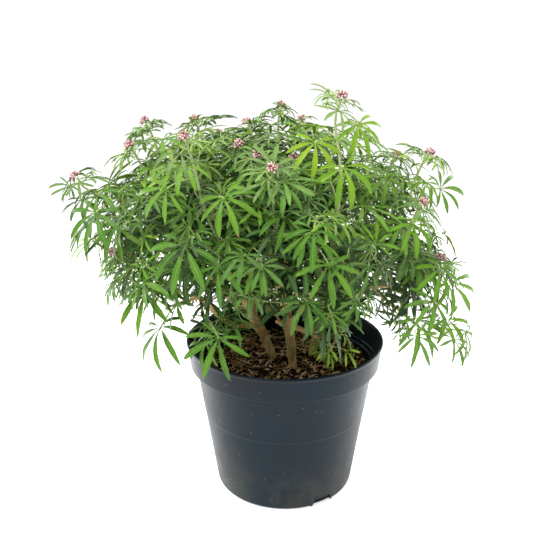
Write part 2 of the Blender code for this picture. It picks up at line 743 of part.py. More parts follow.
def pot_profile():
    band_foot = POT_HEIGHT - BAND_HEIGHT
    inside = [
        (RIM_RADIUS - LIP_REACH - WALL, POT_HEIGHT),
        (BAND_FOOT_RADIUS - WALL, band_foot + WALL * 1.2),
        (WALL_TOP_RADIUS - WALL, band_foot + WALL * 0.2),
        (wall_radius(FLOOR) - WALL, FLOOR),
        (0.0, FLOOR),
    ]
    return outer_profile(0.0) + inside


def add_notch(bm, turn, grow):
    """The prism of a drain notch at the pot's bottom edge, grown on its closed sides."""
    inward = BASE_RADIUS - NOTCH_DEPTH - grow
    outward = BASE_RADIUS + 0.004
    foot, head = NOTCH_WIDTH / 2 + grow, NOTCH_TOP_WIDTH / 2 + grow
    top = NOTCH_HEIGHT + grow
    bottom = -0.002 if grow < WALL else 0.0006
    outline = ((-foot, bottom), (foot, bottom), (head, top), (-head, top))
    rings = []
    for reach in (inward, outward):
        ring = []
        for aside, height in outline:
            x = reach * math.cos(turn) - aside * math.sin(turn)
            y = reach * math.sin(turn) + aside * math.cos(turn)
            ring.append(bm.verts.new((x, y, height)))
        rings.append(ring)
    for j in range(4):
        k = (j + 1) % 4
        bm.faces.new((rings[0][j], rings[0][k], rings[1][k], rings[1][j]))
    bm.faces.new(rings[0][::-1])
    bm.faces.new(rings[1])


def make_pot():
    pot = new_object("nursery_pot", lambda bm: add_turned(bm, pot_profile(), POT_SEGMENTS), "pot")
    for turn in (NOTCH_TURN, NOTCH_TURN + math.pi):
        lining = new_object("lining", lambda bm: add_notch(bm, turn, WALL), "pot")
        within = outer_profile(0.0004) + [(0.0, POT_HEIGHT)]
        trim = new_object("trim", lambda bm: add_turned(bm, within, POT_SEGMENTS), "pot")
        combine(lining, trim, "INTERSECT")
        combine(pot, lining, "UNION")
        combine(pot, new_object("notch", lambda bm: add_notch(bm, turn, 0.0), "pot"), "DIFFERENCE")
    for number in range(DRAIN_HOLES):
        turn = NOTCH_TURN + math.tau * (number + 0.5) / DRAIN_HOLES
        middle = np.array((math.cos(turn), math.sin(turn), 0.0)) * DRAIN_RING_RADIUS
        way = np.array((middle - UP * 0.002, middle + UP * (FLOOR + 0.001)))
        radii = (DRAIN_HOLE_RADIUS, DRAIN_HOLE_RADIUS)
        hole = new_object("hole", lambda bm: add_tube(bm, way, radii, 8), "pot")
        combine(pot, hole, "DIFFERENCE")
    shade_smooth(pot, 40)
    return pot


def add_soil(bm):
    inner = math.cos(math.pi / POT_SEGMENTS)
    turns = [math.tau * j / SOIL_SEGMENTS for j in range(SOIL_SEGMENTS)]
    bottom = FLOOR + GAP
    foot = (wall_radius(bottom) - WALL) * inner - GAP
    edge = (wall_radius(SOIL_EDGE) - WALL) * inner - GAP
    rings = [[bm.verts.new((foot * math.cos(t), foot * math.sin(t), bottom)) for t in turns]]
    for radius in (edge, *SOIL_RINGS[::-1]):
        places = [(radius * math.cos(t), radius * math.sin(t)) for t in turns]
        heights = [SOIL_EDGE if radius == edge else soil_height(x, y) for x, y in places]
        rings.append([bm.verts.new((x, y, z)) for (x, y), z in zip(places, heights)])
    middle = bm.verts.new((0.0, 0.0, soil_height(0.0, 0.0)))
    under = bm.verts.new((0.0, 0.0, bottom))
    for j in range(SOIL_SEGMENTS):
        k = (j + 1) % SOIL_SEGMENTS
        bm.faces.new((under, rings[0][k], rings[0][j]))
        bm.faces.new((middle, rings[-1][j], rings[-1][k]))
        for low, high in zip(rings, rings[1:]):
            bm.faces.new((low[j], low[k], high[k]))
            bm.faces.new((low[j], high[k], high[j]))


def make_soil():
    soil = new_object("soil_root_ball", add_soil, "soil")
    for turn in (NOTCH_TURN, NOTCH_TURN + math.pi):
        room = WALL + GAP
        combine(soil, new_object("room", lambda bm: add_notch(bm, turn, room), "soil"), "DIFFERENCE")
    grow = GAP / math.cos(math.pi / TRUNK_SIDES)
    for clump in CLUMPS:
        path = trunk_path(clump)
        path[0] -= UP * GAP
        hole = new_object("hole", lambda bm: add_tube(bm, path, TRUNK_RADII, TRUNK_SIDES, grow), "soil")
        combine(soil, hole, "DIFFERENCE")
    return soil


# Plant

def make_wood(clump, paths):
    builders = [lambda bm: add_tube(bm, trunk_path(clump), TRUNK_RADII, TRUNK_SIDES)]
    for limb, (owner, _) in LIMBS.items():
        if owner == clump:
            builders.append(lambda bm, limb=limb: add_tube(bm, limb_path(limb), LIMB_RADII, LIMB_SIDES))
    for shoot, path in paths.items():
        if LIMBS[SHOOTS[shoot][0]][0] == clump:
            wood = cut_path(path, 0.0, length_of(path) * WOODY_SHARE, 3)
            ends = (None, growth_at_cut(path))
            builders.append(
                lambda bm, wood=wood, ends=ends: add_tube(bm, wood, BRANCH_RADII, STEM_SIDES, ends=ends)
            )
    for ends in STUBS[clump]:
        stub = np.array(ends)
        builders.append(lambda bm, stub=stub: add_tube(bm, stub, STUB_RADII, LIMB_SIDES))
    return join(f"woody_stems_{clump}", builders, "wood", "MANIFOLD")


def make_shoot(shoot, path, leaves):
    stem = green_stem(path)
    ends = (growth_at_cut(path), None)
    builders = [lambda bm: add_tube(bm, stem, SHOOT_RADII, STEM_SIDES, ends=ends)]
    for leaf in leaves:
        if leaf["shoot"] == shoot:
            builders.append(lambda bm, leaf=leaf: add_leaf(bm, leaf))
    return join(f"leafy_shoot_{shoot}", builders, "leaf", "MANIFOLD")


def add_buds(bm, path):
    """A round cluster of buds, one pointed bud on each face of an icosahedron."""
    middle, growth = bud_middle(path), tip_growth(path)
    side = across(RIGHT, growth)
    frame = np.column_stack((side, np.cross(growth, side), growth))
    bmesh.ops.create_icosphere(bm, subdivisions=1, radius=BUD_CLUSTER_RADIUS)
    poked = bmesh.ops.poke(bm, faces=bm.faces[:])
    for vert in poked["verts"]:
        vert.co += vert.co.normalized() * BUD_POINT
    for vert in bm.verts:
        vert.co = middle + frame @ np.array(vert.co)


def make_plant():
    space = Space()
    paths = place_stems(space)
    leaves = place_leaves(space, paths)
    for clump in CLUMPS:
        make_wood(clump, paths)
    for shoot, path in paths.items():
        make_shoot(shoot, path, leaves)
        if SHOOTS[shoot][3]:
            new_object(f"bud_cluster_{shoot}", lambda bm: add_buds(bm, path), "bud")


def main():
    for obj in list(bpy.data.objects):
        bpy.data.objects.remove(obj)
    make_pot()
    make_soil()
    make_plant()


main()
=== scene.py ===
"""The looks of a potted Mexican orange blossom with narrow palmate leaves and pink flower buds.

The stems, the larger leaves and the buds stand where the frame's nodes have them. This script
gives them their fine form, and adds the smaller leaves and side twigs that fill the plant.
"""

import math
import random

import bmesh
import bpy
import numpy as np
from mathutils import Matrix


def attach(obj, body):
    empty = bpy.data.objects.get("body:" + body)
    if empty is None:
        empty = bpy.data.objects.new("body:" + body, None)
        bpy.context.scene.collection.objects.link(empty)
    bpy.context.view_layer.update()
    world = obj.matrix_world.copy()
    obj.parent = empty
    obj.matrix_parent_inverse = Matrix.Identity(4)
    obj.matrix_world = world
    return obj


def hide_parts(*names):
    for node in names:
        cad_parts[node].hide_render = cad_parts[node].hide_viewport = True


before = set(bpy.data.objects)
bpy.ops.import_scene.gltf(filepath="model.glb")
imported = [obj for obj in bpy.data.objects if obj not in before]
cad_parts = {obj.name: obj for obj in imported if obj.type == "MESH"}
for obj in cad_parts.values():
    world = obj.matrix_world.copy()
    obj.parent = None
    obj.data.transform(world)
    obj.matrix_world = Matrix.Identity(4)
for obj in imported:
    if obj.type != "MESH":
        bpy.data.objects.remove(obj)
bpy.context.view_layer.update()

# Nursery pot, the standard 5 litre size.
POT_HEIGHT = 0.178
RIM_RADIUS = 0.1125
LIP_HEIGHT = 0.0035
LIP_REACH = 0.0014
BAND_HEIGHT = 0.0285
BAND_FOOT_RADIUS = 0.1085
WALL_TOP_RADIUS = 0.102
BASE_RADIUS = 0.080
BASE_ROUNDING = 0.003
WALL = 0.0016
FLOOR = 0.0025
POT_SEGMENTS = 168
DRAIN_HOLES = 6
DRAIN_HOLE_RADIUS = 0.005
DRAIN_RING_RADIUS = 0.048
NOTCH_TURN = math.radians(-58)
NOTCH_WIDTH = 0.026
NOTCH_TOP_WIDTH = 0.021
NOTCH_HEIGHT = 0.0095
NOTCH_DEPTH = 0.018
GAP = 0.0003

# Root ball.
SOIL_EDGE = 0.145
SOIL_MOUND = 0.004
SOIL_RELIEF = 0.0016

# Woody clumps: where each leaves the soil, and where it forks.
BURIED_TO = 0.108
CLUMPS = {
    "left": ((-0.014, 0.004, 0.150), (-0.032, 0.010, 0.190)),
    "centre": ((0.009, -0.021, 0.150), (0.004, -0.018, 0.198)),
    "right": ((0.033, 0.015, 0.150), (0.042, 0.012, 0.192)),
}
TRUNK_RADII = (0.0046, 0.0062)
LIMB_RADII = (0.0038, 0.0029)
BRANCH_RADII = (0.0021, 0.0018)
SHOOT_RADII = (0.0017, 0.0010)
LIMB_START_DEPTH = 0.005
WOODY_SHARE = 0.36

# Limbs: the clump that each grows from, and its points after the fork.
LIMBS = {
    "left_low": ("left", ((-0.057, -0.022, 0.199), (-0.088, -0.052, 0.242))),
    "left_side": ("left", ((-0.060, 0.004, 0.219), (-0.088, 0.000, 0.258))),
    "left_front": ("left", ((-0.044, -0.020, 0.226), (-0.056, -0.050, 0.268))),
    "left_top": ("left", ((-0.041, 0.016, 0.230), (-0.050, 0.026, 0.274))),
    "left_back": ("left", ((-0.050, 0.036, 0.217), (-0.072, 0.064, 0.252))),
    "centre_front": ("centre", ((-0.002, -0.036, 0.228), (-0.008, -0.060, 0.264))),
    "centre_top": ("centre", ((0.003, -0.014, 0.238), (-0.002, -0.012, 0.282))),
    "centre_right": ("centre", ((0.018, -0.038, 0.226), (0.034, -0.060, 0.262))),
    "centre_low": ("centre", ((0.013, -0.030, 0.200), (0.024, -0.038, 0.199))),
    "right_front": ("right", ((0.064, -0.008, 0.216), (0.090, -0.034, 0.248))),
    "right_side": ("right", ((0.063, 0.010, 0.226), (0.086, 0.006, 0.266))),
    "right_back": ("right", ((0.056, 0.034, 0.219), (0.076, 0.058, 0.252))),
    "right_top": ("right", ((0.040, 0.028, 0.232), (0.034, 0.048, 0.276))),
}

# Pruned stubs: their start on the wood and their cut end.
STUBS = {
    "left": (
        ((-0.040, 0.004, 0.200), (-0.050, -0.010, 0.213)),
        ((-0.034, 0.004, 0.196), (-0.036, -0.012, 0.211)),
    ),
    "centre": (((0.002, -0.022, 0.198), (-0.010, -0.031, 0.209)),),
    "right": (((0.042, 0.010, 0.194), (0.050, -0.006, 0.203)),),
}
STUB_RADII = (0.0028, 0.0024)

# Thin dry sticks between the limbs, from their start on the wood to their end.
STICKS = {
    "left": (
        ((-0.030, 0.004, 0.188), (-0.047, -0.022, 0.224)),
        ((-0.033, 0.004, 0.192), (-0.041, -0.014, 0.232)),
        ((-0.034, 0.006, 0.187), (-0.058, -0.026, 0.210)),
    ),
    "centre": (
        ((0.003, -0.018, 0.195), (-0.034, -0.020, 0.236)),
        ((0.005, -0.018, 0.196), (-0.014, -0.026, 0.240)),
    ),
    "right": (
        ((0.042, 0.012, 0.188), (0.078, -0.010, 0.204)),
        ((0.042, 0.012, 0.190), (0.036, -0.010, 0.230)),
    ),
}
STICK_RADII = (0.0016, 0.0012)

# Shoots: the limb, the tip, the points on the way there, and whether flower buds end it.
SHOOTS = {
    "low_left": ("left_low", (-0.141, -0.060, 0.255), (), False),
    "rim_left": ("left_low", (-0.075, -0.100, 0.236), (), False),
    "low_left_bud": ("left_low", (-0.174, -0.060, 0.294), (), True),
    "far_left": ("left_side", (-0.210, -0.045, 0.369), ((-0.149, -0.030, 0.308), (-0.188, -0.045, 0.352)), True),
    "left_two": ("left_side", (-0.157, -0.030, 0.397), (), True),
    "upper_left": ("left_side", (-0.148, 0.010, 0.417), (), True),
    "front_left": ("left_front", (-0.091, -0.115, 0.416), ((-0.062, -0.070, 0.300), (-0.077, -0.092, 0.345)), True),
    "crown_a": ("left_front", (-0.046, -0.050, 0.401), (), True),
    "top_left": ("left_top", (-0.101, 0.060, 0.414), (), True),
    "crown_b": ("left_top", (-0.040, 0.020, 0.415), (), True),
    "back_left_top": ("left_top", (-0.080, 0.125, 0.392), (), True),
    "left_back": ("left_back", (-0.160, 0.105, 0.335), (), False),
    "left_back_low": ("left_back", (-0.195, 0.060, 0.262), (), False),
    "back_left_low": ("left_back", (-0.075, 0.170, 0.280), (), False),
    "crown_d": ("centre_front", (-0.026, -0.085, 0.396), (), True),
    "crown_e": ("centre_front", (-0.013, -0.120, 0.389), (), True),
    "front_small": ("centre_front", (-0.026, -0.132, 0.318), (), False),
    "crown_c": ("centre_top", (-0.005, 0.035, 0.431), (), True),
    "crown_f": ("centre_top", (0.007, -0.050, 0.387), (), True),
    "tall_right": ("centre_right", (0.051, -0.075, 0.448), ((0.046, -0.074, 0.310), (0.052, -0.080, 0.375)), True),
    "front_mid": ("centre_right", (0.027, -0.130, 0.350), (), False),
    "front_low": ("centre_right", (0.017, -0.120, 0.274), (), False),
    "soil_shoot": ("centre_low", (0.050, -0.071, 0.197), ((0.036, -0.052, 0.196),), False),
    "right_c": ("right_front", (0.133, -0.070, 0.347), ((0.116, -0.052, 0.300),), True),
    "right_d": ("right_front", (0.158, -0.055, 0.286), (), True),
    "low_right": ("right_front", (0.169, -0.080, 0.221), (), False),
    "right_a": ("right_side", (0.117, 0.000, 0.383), (), True),
    "right_b": ("right_side", (0.145, -0.030, 0.390), ((0.124, -0.026, 0.335),), True),
    "right_back_low": ("right_back", (0.165, 0.060, 0.262), (), False),
    "right_back": ("right_back", (0.140, 0.085, 0.345), (), False),
    "back_right_low": ("right_back", (0.095, 0.150, 0.268), (), False),
    "right_back_top": ("right_top", (0.085, 0.085, 0.405), (), True),
    "back_top": ("right_top", (0.020, 0.105, 0.410), (), True),
    "back_mid": ("right_top", (0.025, 0.165, 0.335), (), False),
}

# Leaves that stand out at the front: the shoot, the middle of the leaf, the length of its longest
# leaflet, and how far that leaflet turns to the right from hanging straight down, in degrees.
FRONT_LEAVES = (
    ("far_left", (-0.183, -0.085, 0.343), 0.042, -10),
    ("front_left", (-0.093, -0.130, 0.322), 0.047, -8),
    ("front_left", (-0.057, -0.122, 0.365), 0.040, 30),
    ("front_left", (-0.107, -0.128, 0.375), 0.034, -40),
    ("tall_right", (0.051, -0.108, 0.390), 0.041, 17),
    ("tall_right", (0.068, -0.090, 0.422), 0.036, 25),
    ("tall_right", (0.033, -0.092, 0.418), 0.042, -26),
    ("front_mid", (0.023, -0.150, 0.342), 0.036, -6),
    ("front_mid", (0.038, -0.140, 0.307), 0.039, 0),
    ("front_small", (-0.022, -0.150, 0.309), 0.027, 10),
    ("front_small", (-0.035, -0.140, 0.283), 0.027, 0),
    ("front_low", (0.017, -0.130, 0.266), 0.032, -32),
    ("rim_left", (-0.066, -0.118, 0.226), 0.044, -18),
    ("low_right", (0.133, -0.090, 0.233), 0.041, 20),
    ("low_right", (0.119, -0.104, 0.222), 0.042, -8),
    ("right_c", (0.122, -0.090, 0.333), 0.034, -5),
    ("right_b", (0.138, -0.052, 0.368), 0.030, 8),
    ("right_b", (0.158, -0.036, 0.356), 0.033, 85),
    ("soil_shoot", (0.040, -0.088, 0.198), 0.024, -15),
    ("soil_shoot", (0.060, -0.082, 0.196), 0.022, 35),
)

# Pairs of leaves down each shoot, on shoots with and without buds: distance from the tip, leaflet
# length, leafstalk length, leaflets.
BUDDED_PAIRS = (
    (0.066, 0.047, 0.026, 5),
    (0.034, 0.036, 0.020, 5),
    (0.008, 0.019, 0.011, 3),
)
PLAIN_PAIRS = (
    (0.042, 0.046, 0.025, 5),
    (0.010, 0.034, 0.018, 5),
)
FRONT_LEAVES_FOR_A_PAIR = 2
LEAFSTALK_LEAN = math.radians(58)
LEAFLET_TURNS = {3: (-44, 0, 44), 5: (-78, -38, 0, 38, 78)}
LEAFLET_SHARES = {3: (0.8, 1.0, 0.8), 5: (0.82, 0.96, 1.0, 0.96, 0.82)}
WIDEST_AT = 0.55
BLADE_DEPTH = 0.0013
LEAF_HEART_RADIUS = 0.0034
LEAFSTALK_RADIUS = 0.0009
NECK_BELOW = 0.45
NECK_LENGTH = 0.007
LEAFLET_RISE = math.radians(4)
LEAFLET_DROOP = (math.radians(14), math.radians(34))

# Room kept free round leaflets, leafstalks, stems and buds, and how often a leaf is tried.
LEAFLET_ROOM = (0.0033, 0.0027)
LEAF_CLEARANCE = 0.0006
LEAF_TRIES = 26
RIM_CLEARANCE = 0.001
SEARCH_MARGIN = 0.012
MOST_SEGMENTS = 60000

BUD_CLUSTER_RADIUS = 0.0043
BUD_POINT = 0.0022

PLANT_CENTRE = np.array((-0.020, 0.0, 0.235))
UP = np.array((0.0, 0.0, 1.0))
RIGHT = np.array((1.0, 0.0, 0.0))
FRONT = np.array((0.0, -1.0, 0.0))

# Smaller outer leaflets, which fill each leaf up: their turns in degrees and shares of its length.
OUTER_LEAFLETS = {3: ((-90, 0.55), (90, 0.55)), 5: ((-116, 0.60), (116, 0.60))}

# More leaves that stand out at the front, set out like the frame's.
MORE_FRONT_LEAVES = (
    ("right_d", (0.153, -0.080, 0.284), 0.037, -28),
    ("right_d", (0.168, -0.070, 0.266), 0.041, 28),
    ("low_right", (0.146, -0.092, 0.254), 0.035, -55),
    ("low_right", (0.162, -0.084, 0.232), 0.033, 40),
    ("far_left", (-0.168, -0.070, 0.325), 0.036, 25),
    ("right_a", (0.098, -0.055, 0.372), 0.036, -20),
)

# Leaves that fill the plant: distance from the tip, leaflet length, leafstalk length, leaflets.
FILL_PAIRS = (
    (0.020, 0.033, 0.016, 5),
    (0.050, 0.041, 0.022, 5),
    (0.084, 0.044, 0.024, 5),
    (0.104, 0.040, 0.024, 5),
    (0.124, 0.038, 0.024, 5),
    (0.146, 0.034, 0.022, 5),
)
FILL_BELOW_SHARE = 0.80
FILL_TRIES = 6
FILL_SOFTNESS = 0.45
MOST_CLASHES = 3
FILL_DROOP = (math.radians(0), math.radians(28))
FILL_REACH = 0.98
FILL_REACH_PLAY = 0.22

# Young leaves in a ring under each tip: distance from the tip, leaflet length, leafstalk length.
RING_PAIRS = (
    (0.0010, 0.023, 0.0070),
    (0.0050, 0.030, 0.0100),
)
RING_DROOP = (math.radians(6), math.radians(42))
RING_LEAN = (math.radians(52), math.radians(92))

# Side twigs.
TWIGS = 162
TWIG_TRIES = 24
LOW_TWIG = 0.285
LOW_TWIG_PULL = 1.5
TWIG_RISE = (-0.40, 0.45)
BARE_SHOOTS = ("low_left", "rim_left", "soil_shoot")
TWIG_LENGTHS = (0.034, 0.090)
TWIG_RADII = (0.0010, 0.0006)
TWIG_PAIRS = (
    (0.004, 0.028, 0.012, 5),
    (0.018, 0.037, 0.018, 5),
    (0.038, 0.042, 0.022, 5),
    (0.060, 0.040, 0.022, 5),
)

# Low twigs behind the wood: how many, and the box that their tips lie in.
BACK_TWIGS = 30
BACK_LOW_CORNER = np.array((-0.120, 0.035, 0.198))
BACK_HIGH_CORNER = np.array((0.115, 0.120, 0.250))

# The crown that the leaves fill.
CROWN_CENTRE = np.array((-0.022, 0.010, 0.275))
CROWN_ABOVE = np.array((0.190, 0.160, 0.140))
CROWN_BELOW = np.array((0.160, 0.150, 0.085))
CROWN_LEAN = 0.052
AIRY_ABOVE = 0.350
AIRY_BESIDE = 0.105
AIRY_SHARE = 0.42

# Gaps at the front where the wood and the soil show: left, right, bottom and top in the front view,
# as tangents, and how far back they go.
GAPS = ((-0.060, 0.058, -0.142, -0.032), (-0.114, 0.150, -0.145, -0.088))
GAP_BACK = 0.004

# Stems that no added leaf hides from the front, and how wide they are kept clear, as a tangent.
SHOWN_STEMS = ("front_left", "tall_right")
SHOWN_FROM = 0.110
SHOWN_WIDTH = 0.011

# How yellow and fresh the leaves of each shoot are, from 0 to 1, where it isn't the usual.
USUAL_TONE = 0.46
PALE_SHARE = 0.28
TONES = {
    "tall_right": 0.56, "soil_shoot": 0.76, "low_right": 0.56, "right_c": 0.50, "right_d": 0.56,
    "right_b": 0.54, "front_left": 0.44, "far_left": 0.42, "front_low": 0.42, "front_small": 0.32,
    "front_mid": 0.42, "rim_left": 0.34, "crown_a": 0.26, "crown_d": 0.24, "crown_e": 0.32,
    "crown_f": 0.32, "crown_c": 0.42, "low_left_bud": 0.58, "low_left": 0.52,
}


# Vectors and paths

def unit(vector):
    return vector / max(float(np.linalg.norm(vector)), 1e-9)


def across(vector, axis):
    """The unit part of a vector that is square to a unit axis."""
    return unit(vector - axis * float(np.dot(vector, axis)))


def turned(vector, axis, angle):
    """A vector turned round a unit axis."""
    along = axis * float(np.dot(axis, vector)) * (1.0 - math.cos(angle))
    return vector * math.cos(angle) + np.cross(axis, vector) * math.sin(angle) + along


def evenly(path, count):
    """The path again, as evenly spaced points."""
    return cut_path(path, 0.0, length_of(path), count)


def smooth(points, count):
    """Evenly spaced points on a smooth curve through a few points."""
    points = np.array(points, float)
    padded = np.vstack((2 * points[0] - points[1], points, 2 * points[-1] - points[-2]))
    fine = []
    for a, b, c, d in zip(padded, padded[1:], padded[2:], padded[3:]):
        for t in np.linspace(0.0, 1.0, 16, endpoint=False):
            bend = (2 * a - 5 * b + 4 * c - d) * t + (3 * b - a - 3 * c + d) * t * t
            fine.append(b + 0.5 * t * ((c - a) + bend))
    fine.append(points[-1])
    return evenly(np.array(fine), count)


def length_of(path):
    return float(np.linalg.norm(np.diff(path, axis=0), axis=1).sum())


def cut_path(path, start, end, count):
    """The stretch of a path between two distances from its start."""
    steps = np.linalg.norm(np.diff(path, axis=0), axis=1)
    along = np.concatenate(((0.0,), np.cumsum(steps)))
    marks = np.linspace(start, end, count)
    return np.column_stack([np.interp(marks, along, path[:, k]) for k in range(3)])


def point_from_tip(path, distance):
    """The point that far below a path's end, and the direction of growth there."""
    total = length_of(path)
    low, high = cut_path(path, total - distance - 0.002, total - distance + 0.002, 2)
    return (low + high) / 2, unit(high - low)


# Where things are taken

def gap_between(a0, a1, b0, b1):
    """The least distance between each segment a and each segment b."""
    d1 = (a1 - a0)[:, None, :]
    d2 = (b1 - b0)[None, :, :]
    r = a0[:, None, :] - b0[None, :, :]
    a = (d1 * d1).sum(2)
    e = np.maximum((d2 * d2).sum(2), 1e-12)
    b = (d1 * d2).sum(2)
    c = (d1 * r).sum(2)
    f = (d2 * r).sum(2)
    span = np.maximum(a * e - b * b, 1e-14)
    s = np.clip((b * f - c * e) / span, 0.0, 1.0)
    t = np.clip((b * s + f) / e, 0.0, 1.0)
    s = np.clip((b * t - c) / np.maximum(a, 1e-12), 0.0, 1.0)
    apart = r + d1 * s[..., None] - d2 * t[..., None]
    return np.sqrt((apart * apart).sum(2))


class Space:
    """The stretches of stem, leafstalk and leaflet that are already placed."""

    def __init__(self):
        self.room = np.zeros((MOST_SEGMENTS, 8))
        self.used = 0
        self.numbers = {}

    def number(self, owner):
        return self.numbers.setdefault(owner, len(self.numbers))

    def add(self, owner, starts, ends, radii):
        rows = self.room[self.used:self.used + len(starts)]
        rows[:, 0:3], rows[:, 3:6], rows[:, 6], rows[:, 7] = starts, ends, radii, self.number(owner)
        self.used += len(starts)

    def add_path(self, owner, path, radii):
        self.add(owner, path[:-1], path[1:], radii)

    def clashes(self, starts, ends, radii, skip=(), softness=1.0):
        """How many of some segments come too near to what is placed, except what some owners hold."""
        rows = self.room[:self.used]
        low = np.minimum(starts, ends).min(0) - SEARCH_MARGIN
        high = np.maximum(starts, ends).max(0) + SEARCH_MARGIN
        chosen = (np.maximum(rows[:, 0:3], rows[:, 3:6]) > low).all(1)
        chosen &= (np.minimum(rows[:, 0:3], rows[:, 3:6]) < high).all(1)
        for owner in skip:
            chosen &= rows[:, 7] != self.number(owner)
        rows = rows[chosen]
        if not len(rows):
            return 0
        gaps = gap_between(starts, ends, rows[:, 0:3], rows[:, 3:6])
        room = (radii[:, None] + rows[:, 6][None, :] + LEAF_CLEARANCE) * softness
        return int((gaps <= room).any(1).sum())

    def is_clear(self, starts, ends, radii, skip=()):
        return self.clashes(starts, ends, radii, skip) == 0


def wall_radius(height):
    """The outer radius of the pot's tapered wall at a height."""
    return BASE_RADIUS + (WALL_TOP_RADIUS - BASE_RADIUS) * height / (POT_HEIGHT - BAND_HEIGHT)


def soil_height(x, y):
    """The height of the root ball's rough, mounded top."""
    reach = math.hypot(x, y) / wall_radius(SOIL_EDGE)
    waves = math.sin(x * 190 + 1.3) * math.cos(y * 160 - 0.4) + 0.6 * math.sin((x + y) * 330 + 2.0)
    return SOIL_EDGE + SOIL_MOUND * (1.0 - reach * reach) + SOIL_RELIEF * waves * (1.0 - reach ** 4)


def misses_pot(starts, ends, radii):
    """Whether some segments stay clear of the pot and the soil."""
    if min(starts[:, 2].min(), ends[:, 2].min()) > POT_HEIGHT + radii.max() + RIM_CLEARANCE:
        return True
    for start, end, radius in zip(starts, ends, radii):
        for share in (0.0, 0.25, 0.5, 0.75, 1.0):
            x, y, z = start + (end - start) * share
            out = math.hypot(x, y)
            room = radius + RIM_CLEARANCE
            if z < POT_HEIGHT + room and WALL_TOP_RADIUS - WALL - room < out < RIM_RADIUS + room:
                return False
            if out < WALL_TOP_RADIUS and z < soil_height(x, y) + room:
                return False
    return True


# Stems

def trunk_path(clump):
    foot, fork = (np.array(point) for point in CLUMPS[clump])
    root = np.array((foot[0], foot[1], BURIED_TO))
    return np.vstack((root, smooth((foot, foot * 0.45 + fork * 0.55 + (0, 0, 0.003), fork), 4)))


def limb_path(limb):
    clump, points = LIMBS[limb]
    fork = np.array(CLUMPS[clump][1])
    first = unit(np.array(points[0]) - fork)
    return smooth((fork - first * LIMB_START_DEPTH * 0.4, fork + first * LIMB_START_DEPTH, *points), 4)


def shoot_path(shoot, sway):
    """A shoot's way from its limb to its tip, with a sideways sway at the middle."""
    limb, tip, passing, _ = SHOOTS[shoot]
    start = limb_path(limb)[-1]
    growth = unit(start - limb_path(limb)[-2])
    tip = np.array(tip)
    outward = across(tip - PLANT_CENTRE, UP)
    below = tip - 0.020 * unit(0.85 * UP + 0.45 * outward + 0.25 * unit(tip - start))
    middle = start * 0.5 + below * 0.5 + outward * 0.006 - UP * 0.004 + sway
    way = passing if passing else (middle,)
    return smooth((start - growth * 0.002, start + growth * 0.004, *way, below, tip), 13)


def green_stem(path):
    """The green end of a shoot's path, past its old wood."""
    total = length_of(path)
    return cut_path(path, total * WOODY_SHARE + GAP, total, 6)


def stem_radii(path, radii):
    return np.linspace(radii[0], radii[1], len(path) - 1)


def place_stems(space):
    """Place every stem clear of the others, and return each shoot's path."""
    for clump in CLUMPS:
        path = trunk_path(clump)
        space.add_path(f"wood_{clump}", path, stem_radii(path, TRUNK_RADII))
    for limb, (clump, _) in LIMBS.items():
        path = limb_path(limb)
        space.add_path(f"wood_{clump}", path, stem_radii(path, LIMB_RADII))
    paths = {}
    for shoot, (limb, tip, _, has_buds) in SHOOTS.items():
        draw = random.Random(f"stem {shoot}")
        owner = f"wood_{LIMBS[limb][0]}"
        path = shoot_path(shoot, np.zeros(3))
        for attempt in range(40):
            radii = stem_radii(path, BRANCH_RADII)
            clear_of_wood = space.is_clear(path[:-1], path[1:], radii, skip=(owner,))
            if clear_of_wood and space.is_clear(path[4:-1], path[5:], radii[4:]):
                break
            size = 0.002 + 0.0006 * attempt
            sway = np.array([draw.uniform(-size, size) for _ in range(3)])
            path = shoot_path(shoot, sway)
        paths[shoot] = path
        radii = stem_radii(path, BRANCH_RADII)
        space.add_path(owner, path[:5], radii[:4])
        space.add_path(shoot, path[4:], radii[4:])
        if has_buds:
            middle = bud_middle(path)
            room = np.array((BUD_CLUSTER_RADIUS + BUD_POINT,))
            space.add_path(f"buds_{shoot}", np.array((middle, middle + UP * 0.001)), room)
    return paths


def bud_middle(path):
    """The middle of the bud cluster that stands on a shoot's tip."""
    return path[-1] + tip_growth(path) * (BUD_CLUSTER_RADIUS + GAP)


def tip_growth(path):
    stem = green_stem(path)
    return unit(stem[-1] - stem[-2])


# Leaves of the frame

def leaflet_line(leaf, turn, share):
    """The base, widest point and tip of one leaflet's midrib."""
    length = leaf["length"] * share
    normal = leaf["normal"]
    out = turned(leaf["axis"], normal, math.radians(turn))
    droop = leaf["droop"]
    base = leaf["hub"] + out * LEAF_HEART_RADIUS
    rising = out * math.cos(LEAFLET_RISE) + normal * math.sin(LEAFLET_RISE)
    falling = out * math.cos(droop) - normal * math.sin(droop)
    widest = base + rising * (WIDEST_AT * length - LEAF_HEART_RADIUS)
    tip = widest + unit(falling - UP * 0.18) * ((1.0 - WIDEST_AT) * length)
    return base, widest, tip


def leaf_segments(leaf):
    """The segments that stand for a leaf, and the room that each needs."""
    starts = list(leaf["stalk"][:-1])
    ends = list(leaf["stalk"][1:])
    radii = [LEAFSTALK_RADIUS] * len(starts)
    small = min(leaf["length"] / 0.044, 1.0)
    for turn, share in zip(LEAFLET_TURNS[leaf["leaflets"]], LEAFLET_SHARES[leaf["leaflets"]]):
        _, widest, tip = leaflet_line(leaf, turn, share)
        starts += [leaf["hub"], widest]
        ends += [widest, tip]
        radii += [LEAFLET_ROOM[0] * small, LEAFLET_ROOM[1] * small]
    return np.array(starts), np.array(ends), np.array(radii)


def leaf_fits(leaf, space):
    starts, ends, radii = leaf_segments(leaf)
    stalk = len(leaf["stalk"]) - 1
    if not misses_pot(starts, ends, radii):
        return False
    if not space.is_clear(starts[stalk:], ends[stalk:], radii[stalk:]):
        return False
    return space.is_clear(starts[:stalk], ends[:stalk], radii[:stalk], skip=(leaf["shoot"],))


